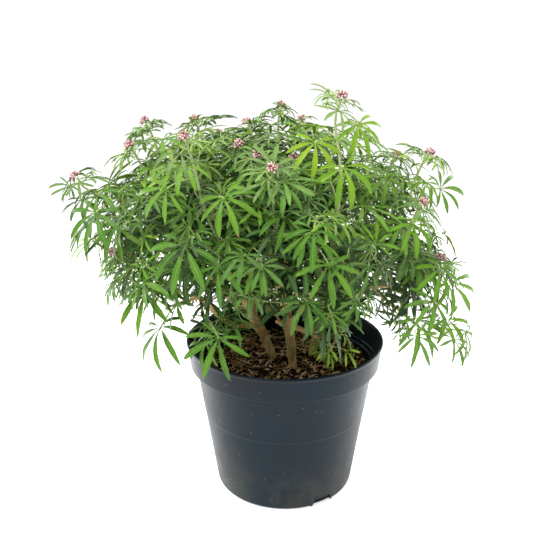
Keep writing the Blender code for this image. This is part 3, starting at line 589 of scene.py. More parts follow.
def keep_leaf(leaf, space, leaves):
    space.add(leaf["shoot"], *leaf_segments(leaf))
    leaves.append(leaf)


def stalk_way(foot, hub, axis, normal):
    """A leafstalk's points: by way of a neck behind the leaf where it would not arrive from there."""
    if np.dot(unit(hub - foot), axis) >= NECK_BELOW:
        return np.array((foot, hub))
    return np.array((foot, hub - axis * NECK_LENGTH - normal * BLADE_DEPTH, hub))


def front_leaf(listed, name, paths, attempt):
    """A leaf that is set by the place of its middle, facing the front."""
    shoot, hub, length, heading = listed
    draw = random.Random(f"{name} {attempt}")
    loose = 0.0007 * attempt
    hub = np.array(hub) + [draw.uniform(-loose, loose) for _ in range(3)]
    stem = evenly(green_stem(paths[shoot]), 25)
    foot = stem[max(int(np.argmin(np.linalg.norm(stem - hub, axis=1))) - 2, 2)]
    outward = across(hub - PLANT_CENTRE, UP)
    normal = unit(0.62 * FRONT + 0.50 * UP + 0.38 * outward)
    down = across(-UP, normal)
    heading = math.radians(heading + draw.uniform(-2, 2) * attempt)
    axis = turned(down, normal, heading)
    leaflets = 5 if length > 0.025 else 3
    return {"shoot": shoot, "stalk": stalk_way(foot, hub, axis, normal), "hub": hub, "axis": axis,
            "normal": normal, "length": length * (1.0 - 0.012 * attempt),
            "droop": draw.uniform(*LEAFLET_DROOP), "leaflets": leaflets, "from_tip": 0.06, "fine": True}


def paired_leaf(shoot, pair, side, path, attempt):
    """One leaf of a pair on a shoot, on a stalk that leans out and up."""
    from_tip, length, stalk_length, leaflets = pairs_of(shoot)[pair]
    draw = random.Random(f"pair {shoot} {pair} {side} {attempt}")
    loose = min(attempt, 12)
    from_tip = from_tip + random.Random(f"node {shoot} {pair}").uniform(-0.004, 0.006)
    stem = green_stem(path)
    foot, growth = point_from_tip(stem, min(from_tip, length_of(stem) - 0.008))
    start = random.Random(f"turn {shoot}").uniform(0, math.tau)
    turn = start + pair * math.pi / 2 + side * math.pi + math.radians(draw.uniform(-5, 5) * loose)
    aside = turned(across(RIGHT, growth), growth, turn)
    lean = LEAFSTALK_LEAN + math.radians(draw.uniform(-3, 3) * loose)
    direction = growth * math.cos(lean) + aside * math.sin(lean)
    size = (1.0 - 0.013 * attempt) * draw.uniform(0.92, 1.08)
    hub = foot + unit(direction + 0.15 * UP) * stalk_length * draw.uniform(0.85, 1.25)
    outward = unit(hub - PLANT_CENTRE)
    noise = np.array([draw.uniform(-0.25, 0.25) for _ in range(3)])
    normal = unit(0.62 * UP + 0.55 * outward + 0.30 * aside + noise)
    axis = across(aside + 0.35 * outward - 0.25 * UP + 0.5 * noise, normal)
    return {"shoot": shoot, "stalk": stalk_way(foot, hub, axis, normal), "hub": hub, "axis": axis,
            "normal": normal, "length": length * size, "droop": draw.uniform(*LEAFLET_DROOP),
            "leaflets": leaflets, "from_tip": from_tip, "fine": True}


def pairs_of(shoot):
    return BUDDED_PAIRS if SHOOTS[shoot][3] else PLAIN_PAIRS


def first_pair(shoot):
    """How many of a shoot's large pairs its front leaves stand for."""
    return sum(leaf[0] == shoot for leaf in FRONT_LEAVES) // FRONT_LEAVES_FOR_A_PAIR


def place_leaves(space, paths):
    """Place every leaf clear of what is there, the large ones of the front first."""
    leaves = []
    for number, listed in enumerate(FRONT_LEAVES):
        for attempt in range(LEAF_TRIES):
            leaf = front_leaf(listed, f"front {number}", paths, attempt)
            if leaf_fits(leaf, space):
                keep_leaf(leaf, space, leaves)
                break
    for pair in range(len(BUDDED_PAIRS)):
        for shoot, path in paths.items():
            if pair < first_pair(shoot) or pair >= len(pairs_of(shoot)):
                continue
            for side in (0, 1):
                for attempt in range(LEAF_TRIES):
                    leaf = paired_leaf(shoot, pair, side, path, attempt)
                    if leaf_fits(leaf, space):
                        keep_leaf(leaf, space, leaves)
                        break
    return leaves


# Leaves and twigs that fill the plant

def crown_reach(point):
    """How far out a point lies in the crown, from 0 at its heart to 1 at its skin."""
    offset = point - CROWN_CENTRE
    if offset[2] > 0:
        return float(np.linalg.norm(offset / CROWN_ABOVE))
    return float(np.linalg.norm((offset - CROWN_LEAN * RIGHT) / CROWN_BELOW))


def in_front_view(points):
    """How far across and up points lie in the front view, as tangents from its middle."""
    offset = points - np.array(CAMERA_PLACE)
    depth = offset[:, 1] * math.cos(CAMERA_PITCH) + offset[:, 2] * math.sin(CAMERA_PITCH)
    height = offset[:, 2] * math.cos(CAMERA_PITCH) - offset[:, 1] * math.sin(CAMERA_PITCH)
    return offset[:, 0] / depth, height / depth


def fills_gap(points):
    """Whether any point hangs in one of the gaps at the front."""
    aside, level = in_front_view(points)
    for left, right, bottom, top in GAPS:
        inside = (aside > left) & (aside < right) & (level > bottom) & (level < top)
        if (inside & (points[:, 1] < GAP_BACK)).any():
            return True
    return False


def hides_stem(points, stems):
    """Whether any point lies in front of one of the stems that are kept in sight."""
    aside, level = in_front_view(points)
    for stem in stems:
        stem_aside, stem_level = in_front_view(stem)
        beside = np.abs(aside - np.interp(level, stem_level, stem_aside)) < SHOWN_WIDTH
        before = points[:, 1] < np.interp(level, stem_level, stem[:, 1])
        if (beside & before & (level > stem_level[0]) & (level < stem_level[-1])).any():
            return True
    return False


def fill_leaf(shoot, path, spec, start_turn, draw):
    """A leaf on any stem, with more play in its turn, lean and facing than the frame's leaves."""
    from_tip, length, stalk_length, leaflets = spec
    foot, growth = point_from_tip(path, min(from_tip, length_of(path) - 0.004))
    turn = start_turn + math.radians(draw.uniform(-30, 30))
    aside = turned(across(RIGHT + 0.2 * FRONT, growth), growth, turn)
    lean = LEAFSTALK_LEAN + math.radians(draw.uniform(-22, 18))
    direction = growth * math.cos(lean) + aside * math.sin(lean)
    hub = foot + unit(direction + 0.12 * UP) * stalk_length * draw.uniform(0.75, 1.3)
    outward = unit(hub - PLANT_CENTRE)
    noise = np.array([draw.uniform(-0.45, 0.45) for _ in range(3)])
    normal = unit(0.42 * UP + 0.75 * outward + 0.20 * aside + noise)
    axis = across(aside + 0.2 * outward - 0.1 * UP + 1.4 * noise, normal)
    return {"shoot": shoot, "stalk": stalk_way(foot, hub, axis, normal), "hub": hub, "axis": axis,
            "normal": normal, "length": length * draw.uniform(0.82, 1.12),
            "droop": draw.uniform(*FILL_DROOP),
            "leaflets": leaflets, "from_tip": from_tip, "fine": False, "chance": draw.random()}


def ring_leaf(shoot, path, spec, turn, draw):
    """A young leaf that arches out from just under a tip."""
    from_tip, length, stalk_length = spec
    foot, growth = point_from_tip(path, from_tip + 0.002)
    aside = turned(across(RIGHT + 0.2 * FRONT, growth), growth, turn + draw.uniform(-0.4, 0.4))
    lean = draw.uniform(*RING_LEAN)
    direction = growth * math.cos(lean) + aside * math.sin(lean)
    hub = foot + direction * stalk_length * draw.uniform(0.85, 1.25)
    noise = np.array([draw.uniform(-0.45, 0.45) for _ in range(3)])
    normal = unit(0.65 * growth + 0.45 * UP + 0.10 * aside + noise)
    axis = across(aside + 0.4 * noise, normal)
    return {"shoot": shoot, "stalk": stalk_way(foot, hub, axis, normal), "hub": hub, "axis": axis,
            "normal": normal, "length": length * draw.uniform(0.8, 1.15),
            "droop": draw.uniform(*RING_DROOP), "leaflets": 5, "from_tip": from_tip,
            "fine": False}


def place_more_front_leaves(space, paths, leaves):
    for number, listed in enumerate(MORE_FRONT_LEAVES):
        leaf = front_leaf(listed, f"more {number}", paths, 0)
        if misses_pot(*leaf_segments(leaf)):
            keep_leaf(leaf, space, leaves)


def place_rings(space, paths, twigs, leaves):
    """Ring every tip with young leaves, wherever they clear the pot."""
    tips = [(shoot, path, RING_PAIRS) for shoot, path in paths.items()]
    tips += [(shoot, twig, RING_PAIRS[:1]) for shoot, twig in twigs]
    for number, (shoot, path, rings) in enumerate(tips):
        draw = random.Random(f"ring {number}")
        start = draw.uniform(0, math.tau)
        for pair, spec in enumerate(rings):
            for side in (0, 1):
                turn = start + pair * math.pi * 0.55 + side * math.pi
                leaf = ring_leaf(shoot, path, spec, turn, draw)
                if misses_pot(*leaf_segments(leaf)):
                    keep_leaf(leaf, space, leaves)


def place_fill_leaf(make, space, leaves, stems):
    """Keep the try that clashes least with what is there, unless even that one clashes too much."""
    first = make()
    beside = abs(first["hub"][0] - CROWN_CENTRE[0])
    if (first["hub"][2] > AIRY_ABOVE or beside > AIRY_BESIDE) and first["chance"] < AIRY_SHARE:
        return
    best, least = None, MOST_CLASHES + 1
    for _ in range(FILL_TRIES):
        leaf = make()
        starts, ends, radii = leaf_segments(leaf)
        reach = crown_reach(leaf["hub"]) - FILL_REACH_PLAY * leaf["chance"]
        if reach > FILL_REACH or fills_gap(ends) or hides_stem(ends, stems):
            continue
        if not misses_pot(starts, ends, radii):
            continue
        stalk = len(leaf["stalk"]) - 1
        found = space.clashes(starts[stalk:], ends[stalk:], radii[stalk:], softness=FILL_SOFTNESS)
        if found < least:
            best, least = leaf, found
        if found == 0:
            break
    if best is not None:
        keep_leaf(best, space, leaves)


def fill_shoots(space, paths, leaves, stems):
    for number, spec in enumerate(FILL_PAIRS):
        for shoot, path in paths.items():
            if spec[0] > length_of(path) * FILL_BELOW_SHARE or shoot in BARE_SHOOTS:
                continue
            draw = random.Random(f"fill {shoot} {number}")
            start = draw.uniform(0, math.tau)
            for side in (0, 1):
                turn = start + side * math.pi
                place_fill_leaf(lambda: fill_leaf(shoot, path, spec, turn, draw), space, leaves, stems)


def place_twigs(space, paths, leaves, stems):
    """Grow side twigs into the emptiest parts of the crown, and leaf them."""
    names = [name for name in paths if name not in BARE_SHOOTS]
    centres = [leaf["hub"] + leaf["axis"] * leaf["length"] * 0.4 for leaf in leaves]
    twigs = []
    for number in range(TWIGS):
        draw = random.Random(f"twig {number}")
        best, widest = None, 0.0
        for _ in range(TWIG_TRIES):
            shoot = draw.choice(names)
            path = paths[shoot]
            length = draw.uniform(*TWIG_LENGTHS)
            foot, growth = point_from_tip(path, length_of(path) * draw.uniform(0.18, 0.78))
            aside = turned(across(RIGHT, growth), growth, draw.uniform(0, math.tau))
            first = unit(growth * 0.7 + aside)
            outward = unit(foot + first * length - PLANT_CENTRE)
            last = unit(first + 0.5 * outward + draw.uniform(*TWIG_RISE) * UP)
            tip = foot + first * length * 0.45 + last * length * 0.55
            if crown_reach(tip) > 1.0 or fills_gap(tip[None, :]):
                continue
            room = float(np.linalg.norm(np.array(centres) - tip, axis=1).min())
            room *= LOW_TWIG_PULL if tip[2] < LOW_TWIG else 1.0
            if room > widest:
                best, widest = (shoot, foot, foot + first * length * 0.5, tip), room
        if best is None:
            continue
        shoot, *points = best
        twig = smooth(points, 9)
        twigs.append((shoot, twig))
        before = len(leaves)
        leaf_twig(shoot, twig, draw, space, leaves, stems)
        centres += [leaf["hub"] + leaf["axis"] * leaf["length"] * 0.4 for leaf in leaves[before:]]
        centres.append(points[-1])
    return twigs


def leaf_twig(shoot, twig, draw, space, leaves, stems):
    """Pairs of leaves down a side twig."""
    space.add_path(shoot, twig, stem_radii(twig, TWIG_RADII))
    start = draw.uniform(0, math.tau)
    for pair, spec in enumerate(TWIG_PAIRS):
        if spec[0] > length_of(twig) * 0.9:
            break
        for side in (0, 1):
            turn = start + pair * math.pi / 2 + side * math.pi
            place_fill_leaf(lambda: fill_leaf(shoot, twig, spec, turn, draw), space, leaves, stems)


def place_back_twigs(space, paths, leaves, stems):
    """Grow twigs from the nearest shoots into the low space behind the wood, and leaf them."""
    twigs = []
    for number in range(BACK_TWIGS):
        draw = random.Random(f"back {number}")
        share = np.array([draw.random() for _ in range(3)])
        tip = BACK_LOW_CORNER + (BACK_HIGH_CORNER - BACK_LOW_CORNER) * share
        starts = [(shoot, point) for shoot, path in paths.items() for point in path[1:6]]
        shoot, foot = min(starts, key=lambda start: float(np.linalg.norm(start[1] - tip)))
        bend = (foot + tip) / 2 + UP * 0.25 * float(np.linalg.norm(tip - foot))
        twig = smooth((foot, bend, tip), 9)
        twigs.append((shoot, twig))
        leaf_twig(shoot, twig, draw, space, leaves, stems)
    return twigs


# Meshes

class Surface:
    """Gathers closed shapes and makes one mesh of them.

    Each point holds its lie on its shape (across, along, size) and its tint (tone, down, chance).
    """

    def __init__(self):
        self.points = []
        self.lies = []
        self.tints = []
        self.faces = []
        self.slots = []
        self.count = 0

    def loft(self, rings, lies, tint, slots):
        """A closed skin over rings of points, with a material slot for each strip between them."""
        steps, sides = rings.shape[:2]
        index = self.count + np.arange(steps * sides).reshape(steps, sides)
        low, high = index[:-1], index[1:]
        quads = np.stack((low, np.roll(low, -1, 1), np.roll(high, -1, 1), high), -1)
        self.faces += quads.reshape(-1, 4).tolist()
        self.slots += list(slots) * (steps - 1)
        self.faces += [index[0][::-1].tolist(), index[-1].tolist()]
        self.slots += [slots[0], slots[0]]
        self.points.append(rings.reshape(-1, 3))
        self.lies.append(lies.reshape(-1, 3))
        self.tints.append(np.tile((*tint, 1.0), (steps * sides, 1)))
        self.count += steps * sides

    def make(self, name, materials, sharp_angle):
        mesh = bpy.data.meshes.new(name)
        mesh.from_pydata(np.concatenate(self.points), [], self.faces)
        mesh.polygons.foreach_set("material_index", self.slots)
        lie = mesh.attributes.new("lie", "FLOAT_VECTOR", "POINT")
        lie.data.foreach_set("vector", np.concatenate(self.lies).ravel())
        tint = mesh.attributes.new("tint", "FLOAT_COLOR", "POINT")
        tint.data.foreach_set("color", np.concatenate(self.tints).ravel())
        bm = bmesh.new()
        bm.from_mesh(mesh)
        bmesh.ops.recalc_face_normals(bm, faces=bm.faces)
        bm.to_mesh(mesh)
        bm.free()
        mesh.shade_smooth()
        mesh.set_sharp_from_angle(angle=math.radians(sharp_angle))
        for made in materials:
            mesh.materials.append(made)
        obj = bpy.data.objects.new(name, mesh)
        bpy.context.scene.collection.objects.link(obj)
        return obj


def flat_lies(along, across_line, size):
    """A lie for each point of a loft from its place along and across."""
    steps, sides = len(along), len(across_line)
    lies = np.empty((steps, sides, 3))
    lies[:, :, 0] = across_line[None, :]
    lies[:, :, 1] = along[:, None]
    lies[:, :, 2] = size
    return lies


def tube_rings(path, radii, sides):
    """Rings of points round a path."""
    growths = np.gradient(path, axis=0)
    turns = np.linspace(0, math.tau, sides, endpoint=False)
    rings = np.empty((len(path), sides, 3))
    side = across(RIGHT + 0.31 * FRONT + 0.17 * UP, unit(growths[0]))
    for k, point in enumerate(path):
        growth = unit(growths[k])
        side = across(side, growth)
        other = np.cross(growth, side)
        ring = np.cos(turns)[:, None] * side + np.sin(turns)[:, None] * other
        rings[k] = point + ring * radii[k]
    return rings


def add_tube(surface, path, radii, sides, tint, slot):
    along = np.linspace(0.0, 1.0, len(path))
    round_way = np.linspace(-1.0, 1.0, sides, endpoint=False)
    lies = flat_lies(along, round_way, length_of(path))
    surface.loft(tube_rings(path, radii, sides), lies, tint, [slot] * sides)


# One leaflet: where its stations lie along the midrib, and how wide it is there.
STATIONS = np.array((0.0, 0.08, 0.18, 0.29, 0.40, 0.51, 0.62, 0.73, 0.83, 0.91, 0.965, 1.0))
STATION_WIDTHS = np.array((0.11, 0.16, 0.36, 0.60, 0.80, 0.94, 1.0, 0.95, 0.79, 0.56, 0.33, 0.10))
FEWER_STATIONS = np.array((0.0, 0.18, 0.38, 0.60, 0.80, 0.94, 1.0))
FEWEST_STATIONS = np.array((0.0, 0.30, 0.62, 0.88, 1.0))
SMALL_LEAF = 0.026
SMALL_LEAF_WIDTH = 0.95

# Its section from edge to edge over the top, then the keel below, and the skin of each stretch.
FINE_SECTION = (np.array((-1.0, -0.52, 0.0, 0.52, 1.0, 0.0)), (0, 0, 0, 0, 1, 1))
PLAIN_SECTION = (np.array((-1.0, 0.0, 1.0, 0.0)), (0, 0, 1, 1))
STEM_SLOT = 2
LEAFLET_WIDTH_SHARE = 0.154
RIB_DEPTH = 0.0007
TOOTHING = 0.055
STALK_MARKS = (0.0, 0.15, 0.5, 0.85, 1.0)
STALK_RADII = (0.00105, 0.00076, 0.00062, 0.00068, 0.00095)
STALK_FRESHER = 0.25


def add_leaflet(surface, leaf, turn, share, draw):
    """A thin closed blade, folded a little along its midrib, arched, twisted and faintly toothed."""
    if leaf["fine"]:
        stations, (section, slots) = STATIONS, FINE_SECTION
    else:
        stations = FEWEST_STATIONS if leaf["length"] < SMALL_LEAF else FEWER_STATIONS
        section, slots = PLAIN_SECTION
    hub, normal = leaf["hub"], leaf["normal"]
    _, widest, tip = leaflet_line(leaf, turn + draw.uniform(-4, 4), share * draw.uniform(0.94, 1.05))
    length = float(np.linalg.norm(tip - hub))
    aside = unit(np.cross(normal, widest - hub))
    lift = draw.uniform(-0.05, 0.0) if leaf["fine"] else draw.uniform(-0.03, 0.16)
    tip = tip + aside * draw.uniform(-0.07, 0.07) * length + UP * lift * length
    bend = (widest - 0.2025 * hub - 0.3025 * tip) / 0.495
    t = stations[:, None]
    middle = (1 - t) ** 2 * hub + 2 * t * (1 - t) * bend + t * t * tip
    along = (1 - t) * (bend - hub) + t * (tip - bend)
    along /= np.linalg.norm(along, axis=1)[:, None]
    side = np.cross(normal, along)
    side /= np.linalg.norm(side, axis=1)[:, None]
    up = np.cross(along, side)
    twist = draw.uniform(-0.40, 0.40) * t
    side, up = side * np.cos(twist) + up * np.sin(twist), up * np.cos(twist) - side * np.sin(twist)
    half = np.interp(stations, STATIONS, STATION_WIDTHS) * length * LEAFLET_WIDTH_SHARE / 2
    half = half * draw.uniform(0.88, 1.10) * (1.0 if leaf["fine"] else SMALL_LEAF_WIDTH)
    teeth = np.where(np.arange(len(stations)) % 2, 1 + TOOTHING, 1 - TOOTHING)
    edges = np.abs(section) == 1.0
    width = half[:, None] * section[None, :]
    width[:, edges] *= teeth[:, None]
    fold = draw.uniform(0.05, 0.38)
    crown = draw.uniform(0.04, 0.12)
    wave = 0.10 * np.sin(stations * draw.uniform(9, 15) + draw.uniform(0, math.tau))
    height = half[:, None] * (fold * np.abs(section) + crown * (np.abs(section) == 0.52))[None, :]
    height[:, edges] += (half * wave)[:, None]
    height[:, -1] = -RIB_DEPTH * (1.0 - 0.6 * stations)
    rings = middle[:, None, :] + side[:, None, :] * width[:, :, None] + up[:, None, :] * height[:, :, None]
    tone, down, _ = leaf["tint"]
    tint = (tone + draw.uniform(-0.06, 0.06), down, draw.random())
    surface.loft(rings, flat_lies(stations, section, length), tint, slots)


def add_leaf(surface, leaf):
    """All leaflets of a leaf, and its arched stalk."""
    draw = random.Random(f"leaf {leaf['hub'][0]:.5f} {leaf['hub'][1]:.5f}")
    count = leaf["leaflets"]
    blades = list(zip(LEAFLET_TURNS[count], LEAFLET_SHARES[count]))
    if draw.random() < 0.85 or leaf["length"] > 0.035:
        blades += OUTER_LEAFLETS[count]
    for turn, share in blades:
        add_leaflet(surface, leaf, turn, share, draw)
    foot, hub = leaf["stalk"][0], leaf["stalk"][-1]
    length = float(np.linalg.norm(hub - foot))
    if len(leaf["stalk"]) == 3:
        bend = leaf["stalk"][1] - leaf["axis"] * 0.002
    else:
        bend = (foot + hub) / 2 + UP * 0.14 * length
    count = 8 if leaf["fine"] else 4
    t = np.linspace(0.0, 1.0, count)[:, None]
    path = (1 - t) ** 2 * foot + 2 * t * (1 - t) * bend + t * t * hub
    small = min(max(leaf["length"] / 0.040, 0.55), 1.0)
    radii = np.interp(t[:, 0], STALK_MARKS, STALK_RADII) * small
    # The stalk takes its leaf's tone, painted shade included, a little fresher.
    tint = (leaf["tint"][0] + STALK_FRESHER, leaf["tint"][1], draw.random())
    add_tube(surface, path, radii, 6 if leaf["fine"] else 4, tint, STEM_SLOT)


def tint_of(leaf):
    """How fresh a leaf is, with painted shade that darkens it deeper in the crown, how much down it has, and a
    number of its own.
    """
    draw = random.Random(f"tint {leaf['hub'][0]:.5f} {leaf['hub'][2]:.5f}")
    depth = 1.0 - min(crown_reach(leaf["hub"]), 1.0)
    height = min(max((leaf["hub"][2] - 0.30) / 0.09, 0.0), 1.0)
    low = min(max((0.31 - leaf["hub"][2]) / 0.05, 0.0), 1.0)
    # Leaves deeper in the crown get a darker tone, which is painted shade; the tone is also raised higher up, and
    # fill leaves low down get a darker one.
    usual = TONES.get(leaf["shoot"], USUAL_TONE) - 1.15 * depth + 0.22 * height
    if leaf["fine"]:
        tone = usual + draw.uniform(-0.10, 0.16)
    else:
        tone = usual + draw.uniform(-0.42, 0.34) - 0.20 * low
    down = max(0.0, 1.0 - leaf["from_tip"] / 0.040) * draw.uniform(0.5, 1.0) * max(height, 0.25)
    # The down and the random pale share fade out deeper in the crown: painted shade.
    down = max(down, PALE_SHARE * draw.random()) * max(0.0, 1.0 - 2.5 * depth)
    return min(max(tone, 0.0), 1.0), min(down, 1.0), draw.random()


def add_stem(surface, path, radii, nodes, tint, sides, spacing):
    """A round green stem, thicker at its leaf nodes."""
    total = length_of(path)
    count = max(int(total / spacing), 6)
    fine = evenly(path, count)
    marks = np.linspace(0.0, total, count)
    thickness = np.linspace(radii[0], radii[1], count)
    for node in nodes:
        thickness = thickness * (1.0 + 0.28 * np.exp(-((marks - (total - node)) / 0.0016) ** 2))
    add_tube(surface, fine, thickness, sides, tint, STEM_SLOT)


def make_shoot(shoot, path, leaves, twigs, materials):
    surface = Surface()
    has_buds = SHOOTS[shoot][3]
    pairs = pairs_of(shoot) + FILL_PAIRS + RING_PAIRS
    stem = cut_path(path, length_of(path) * WOODY_SHARE - 0.002, length_of(path), 12)
    tone = TONES.get(shoot, USUAL_TONE)
    down = 1.0 if shoot in SHOWN_STEMS else 0.4
    add_stem(surface, stem, SHOOT_RADII, [pair[0] for pair in pairs], (tone, down, 0.5), 9, 0.0025)
    for owner, twig in twigs:
        if owner == shoot:
            add_stem(surface, twig, TWIG_RADII, [pair[0] for pair in TWIG_PAIRS], (tone, 0.3, 0.6), 5, 0.005)
    for leaf in leaves:
        if leaf["shoot"] == shoot:
            leaf["tint"] = tint_of(leaf)
            add_leaf(surface, leaf)
    obj = surface.make(f"shoot_{shoot}", materials, 50)
    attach(obj, "root")
    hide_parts(f"leafy_shoot_{shoot}")
    return obj


# Buds

BUD_LENGTHS = np.array((0.0, 0.16, 0.38, 0.60, 0.80, 0.94, 1.0))
BUD_WIDTHS = np.array((0.45, 0.72, 0.96, 1.0, 0.78, 0.42, 0.10))
BUDS = 26


def make_buds(shoot, path, bud_material, stem_material):
    """A domed cluster of pointed buds on short stalks."""
    surface = Surface()
    draw = random.Random(f"buds {shoot}")
    middle, growth = bud_middle(path), tip_growth(path)
    heart = middle - growth * 0.0016
    side = across(RIGHT, growth)
    other = np.cross(growth, side)
    for number in range(BUDS):
        lift = 1.0 - 1.28 * (number + 0.5) / BUDS
        turn = number * 2.39996 + draw.uniform(-0.2, 0.2)
        flat = math.sqrt(max(1.0 - lift * lift, 0.0))
        out = unit(growth * lift + (side * math.cos(turn) + other * math.sin(turn)) * flat)
        out = unit(out + np.array([draw.uniform(-0.12, 0.12) for _ in range(3)]))
        length = draw.uniform(0.0034, 0.0048)
        radius = draw.uniform(0.00090, 0.00128)
        reach = draw.uniform(0.0050, 0.0066)
        foot = heart + out * (reach - length)
        path_points = foot + out * (BUD_LENGTHS * length)[:, None]
        tint = (draw.random(), draw.random(), draw.random())
        add_tube(surface, path_points, BUD_WIDTHS * radius, 8, tint, 0)
        add_tube(surface, np.linspace(heart, foot + out * 0.0004, 3), np.full(3, 0.0004), 5, (0.5, 0.6, 0.5), 1)
    obj = surface.make(f"buds_{shoot}", (bud_material, stem_material), 60)
    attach(obj, "root")
    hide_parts(f"bud_cluster_{shoot}")
    return obj


# Wood

WOOD_SIDES = 14
WOOD_VOXEL = 0.0012


def rough_radii(path, radii, draw):
    """Tapered radii with knots and hollows."""
    count = len(path)
    thickness = np.linspace(radii[0], radii[1], count)
    bumps = np.array([draw.uniform(-1, 1) for _ in range(count)])
    return thickness * (1.0 + 0.07 * bumps)


def make_wood(clump, paths, bark_material):
    """Trunk, limbs, branches and pruned stubs, grown together where they meet."""
    surface = Surface()
    draw = random.Random(f"wood {clump}")
    tint = (0.5, 0.5, 0.5)
    trunk = trunk_path(clump)
    fine = np.vstack((trunk[0], evenly(trunk[1:], 14)))
    add_tube(surface, fine, rough_radii(fine, TRUNK_RADII, draw), WOOD_SIDES, tint, 0)
    for limb, (owner, _) in LIMBS.items():
        if owner == clump:
            fine = smooth(limb_path(limb), 16)
            add_tube(surface, fine, rough_radii(fine, LIMB_RADII, draw), WOOD_SIDES, tint, 0)
    for shoot, path in paths.items():
        if LIMBS[SHOOTS[shoot][0]][0] == clump:
            fine = cut_path(path, 0.0, length_of(path) * WOODY_SHARE + 0.001, 14)
            add_tube(surface, fine, rough_radii(fine, BRANCH_RADII, draw), 10, tint, 0)
    for ends in STUBS[clump]:
        fine = np.linspace(*np.array(ends), 6)
        add_tube(surface, fine, rough_radii(fine, STUB_RADII, draw), WOOD_SIDES, tint, 0)
    for ends in STICKS[clump]:
        fine = np.linspace(*np.array(ends), 9)
        fine[1:-1] += [[draw.uniform(-0.0010, 0.0010) for _ in range(3)] for _ in range(7)]
        add_tube(surface, fine, rough_radii(fine, STICK_RADII, draw), 8, tint, 0)
    obj = surface.make(f"wood_{clump}", (bark_material,), 180)
    remesh = obj.modifiers.new("grown together", "REMESH")
    remesh.mode = "VOXEL"
    remesh.voxel_size = WOOD_VOXEL
    remesh.use_smooth_shade = True
    even = obj.modifiers.new("even", "SMOOTH")
    even.factor = 0.5
    even.iterations = 3
    apply_modifiers(obj)
    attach(obj, "root")
    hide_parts(f"woody_stems_{clump}")
    return obj


def apply_modifiers(obj):
    """Replace the mesh by its evaluated self, keeping the object's materials."""
    shown = obj.evaluated_get(bpy.context.evaluated_depsgraph_get())
    mesh = bpy.data.meshes.new_from_object(shown)
    kept = list(obj.data.materials)
    obj.modifiers.clear()
    obj.data = mesh
    mesh.materials.clear()
    for made in kept:
        mesh.materials.append(made)


# Pot

def add_turned(bm, profile, segments):
    """A solid turned from a profile of (radius, height), which starts and ends on the axis."""
    first = bm.verts.new((0.0, 0.0, profile[0][1]))
    last = bm.verts.new((0.0, 0.0, profile[-1][1]))
    turns = np.arange(segments) * math.tau / segments
    rings = []
    for radius, height in profile[1:-1]:
        rings.append([bm.verts.new((radius * math.cos(t), radius * math.sin(t), height)) for t in turns])
    for j in range(segments):
        k = (j + 1) % segments
        bm.faces.new((first, rings[0][k], rings[0][j]))
        bm.faces.new((last, rings[-1][j], rings[-1][k]))
        for low, high in zip(rings, rings[1:]):
            bm.faces.new((low[j], low[k], high[k], high[j]))


def rounded(points, radius, count):
    """A profile with each inner corner turned into a short curve."""
    points = [np.array(point, float) for point in points]
    line = [points[0]]
    for before, corner, after in zip(points, points[1:], points[2:]):
        back = min(radius, float(np.linalg.norm(before - corner)) * 0.45)
        on = min(radius, float(np.linalg.norm(after - corner)) * 0.45)
        start = corner + unit(before - corner) * back
        end = corner + unit(after - corner) * on
        for t in np.linspace(0.0, 1.0, count):
            line.append((1 - t) ** 2 * start + 2 * t * (1 - t) * corner + t * t * end)
    line.append(points[-1])
    return line


def pot_profile():
    band_foot = POT_HEIGHT - BAND_HEIGHT
    lip_foot = POT_HEIGHT - LIP_HEIGHT
    step = POT_HEIGHT * 0.52
    points = (
        (0.0, 0.0),
        (BASE_RADIUS - BASE_ROUNDING * 0.7, 0.0),
        (wall_radius(BASE_ROUNDING), BASE_ROUNDING),
        (wall_radius(step) - 0.0001, step),
        (wall_radius(step) + 0.0003, step + 0.0008),
        (WALL_TOP_RADIUS, band_foot - WALL * 0.6),
        (BAND_FOOT_RADIUS, band_foot),
        (RIM_RADIUS - LIP_REACH, lip_foot - LIP_REACH * 0.5),
        (RIM_RADIUS, lip_foot + LIP_REACH * 0.5),
        (RIM_RADIUS, POT_HEIGHT),
        (RIM_RADIUS - LIP_REACH - WALL, POT_HEIGHT),
        (BAND_FOOT_RADIUS - WALL, band_foot + WALL * 1.2),
        (WALL_TOP_RADIUS - WALL, band_foot + WALL * 0.2),
        (wall_radius(FLOOR) - WALL, FLOOR),
        (0.0, FLOOR),
    )
    return rounded(points, 0.0011, 4)


def new_object(name, build):
    bm = bmesh.new()
    build(bm)
    bmesh.ops.recalc_face_normals(bm, faces=bm.faces)
    mesh = bpy.data.meshes.new(name)
    bm.to_mesh(mesh)
    bm.free()
    obj = bpy.data.objects.new(name, mesh)
    bpy.context.scene.collection.objects.link(obj)
    return obj


def add_notch(bm, turn, grow):
    """The prism of a drain notch at the pot's bottom edge, grown on its closed sides."""
    inward = BASE_RADIUS - NOTCH_DEPTH - grow
    outward = BASE_RADIUS + 0.004
    foot, head = NOTCH_WIDTH / 2 + grow, NOTCH_TOP_WIDTH / 2 + grow
    top = NOTCH_HEIGHT + grow
    bottom = -0.002 if grow < WALL else 0.0006
    outline = ((-foot, bottom), (foot, bottom), (head, top), (-head, top))
    rings = []
    for reach in (inward, outward):
        ring = []
        for aside, height in outline:
            x = reach * math.cos(turn) - aside * math.sin(turn)
            y = reach * math.sin(turn) + aside * math.cos(turn)
            ring.append(bm.verts.new((x, y, height)))
        rings.append(ring)
    for j in range(4):
        k = (j + 1) % 4
        bm.faces.new((rings[0][j], rings[0][k], rings[1][k], rings[1][j]))
    bm.faces.new(rings[0][::-1])
    bm.faces.new(rings[1])


def combine(body, other, operation):
    """Join, cut or trim a body with another object, which is then removed."""
    change = body.modifiers.new("combine", "BOOLEAN")
    change.operation = operation
    change.solver = "MANIFOLD"
    change.object = other
    apply_modifiers(body)
    bpy.data.objects.remove(other)


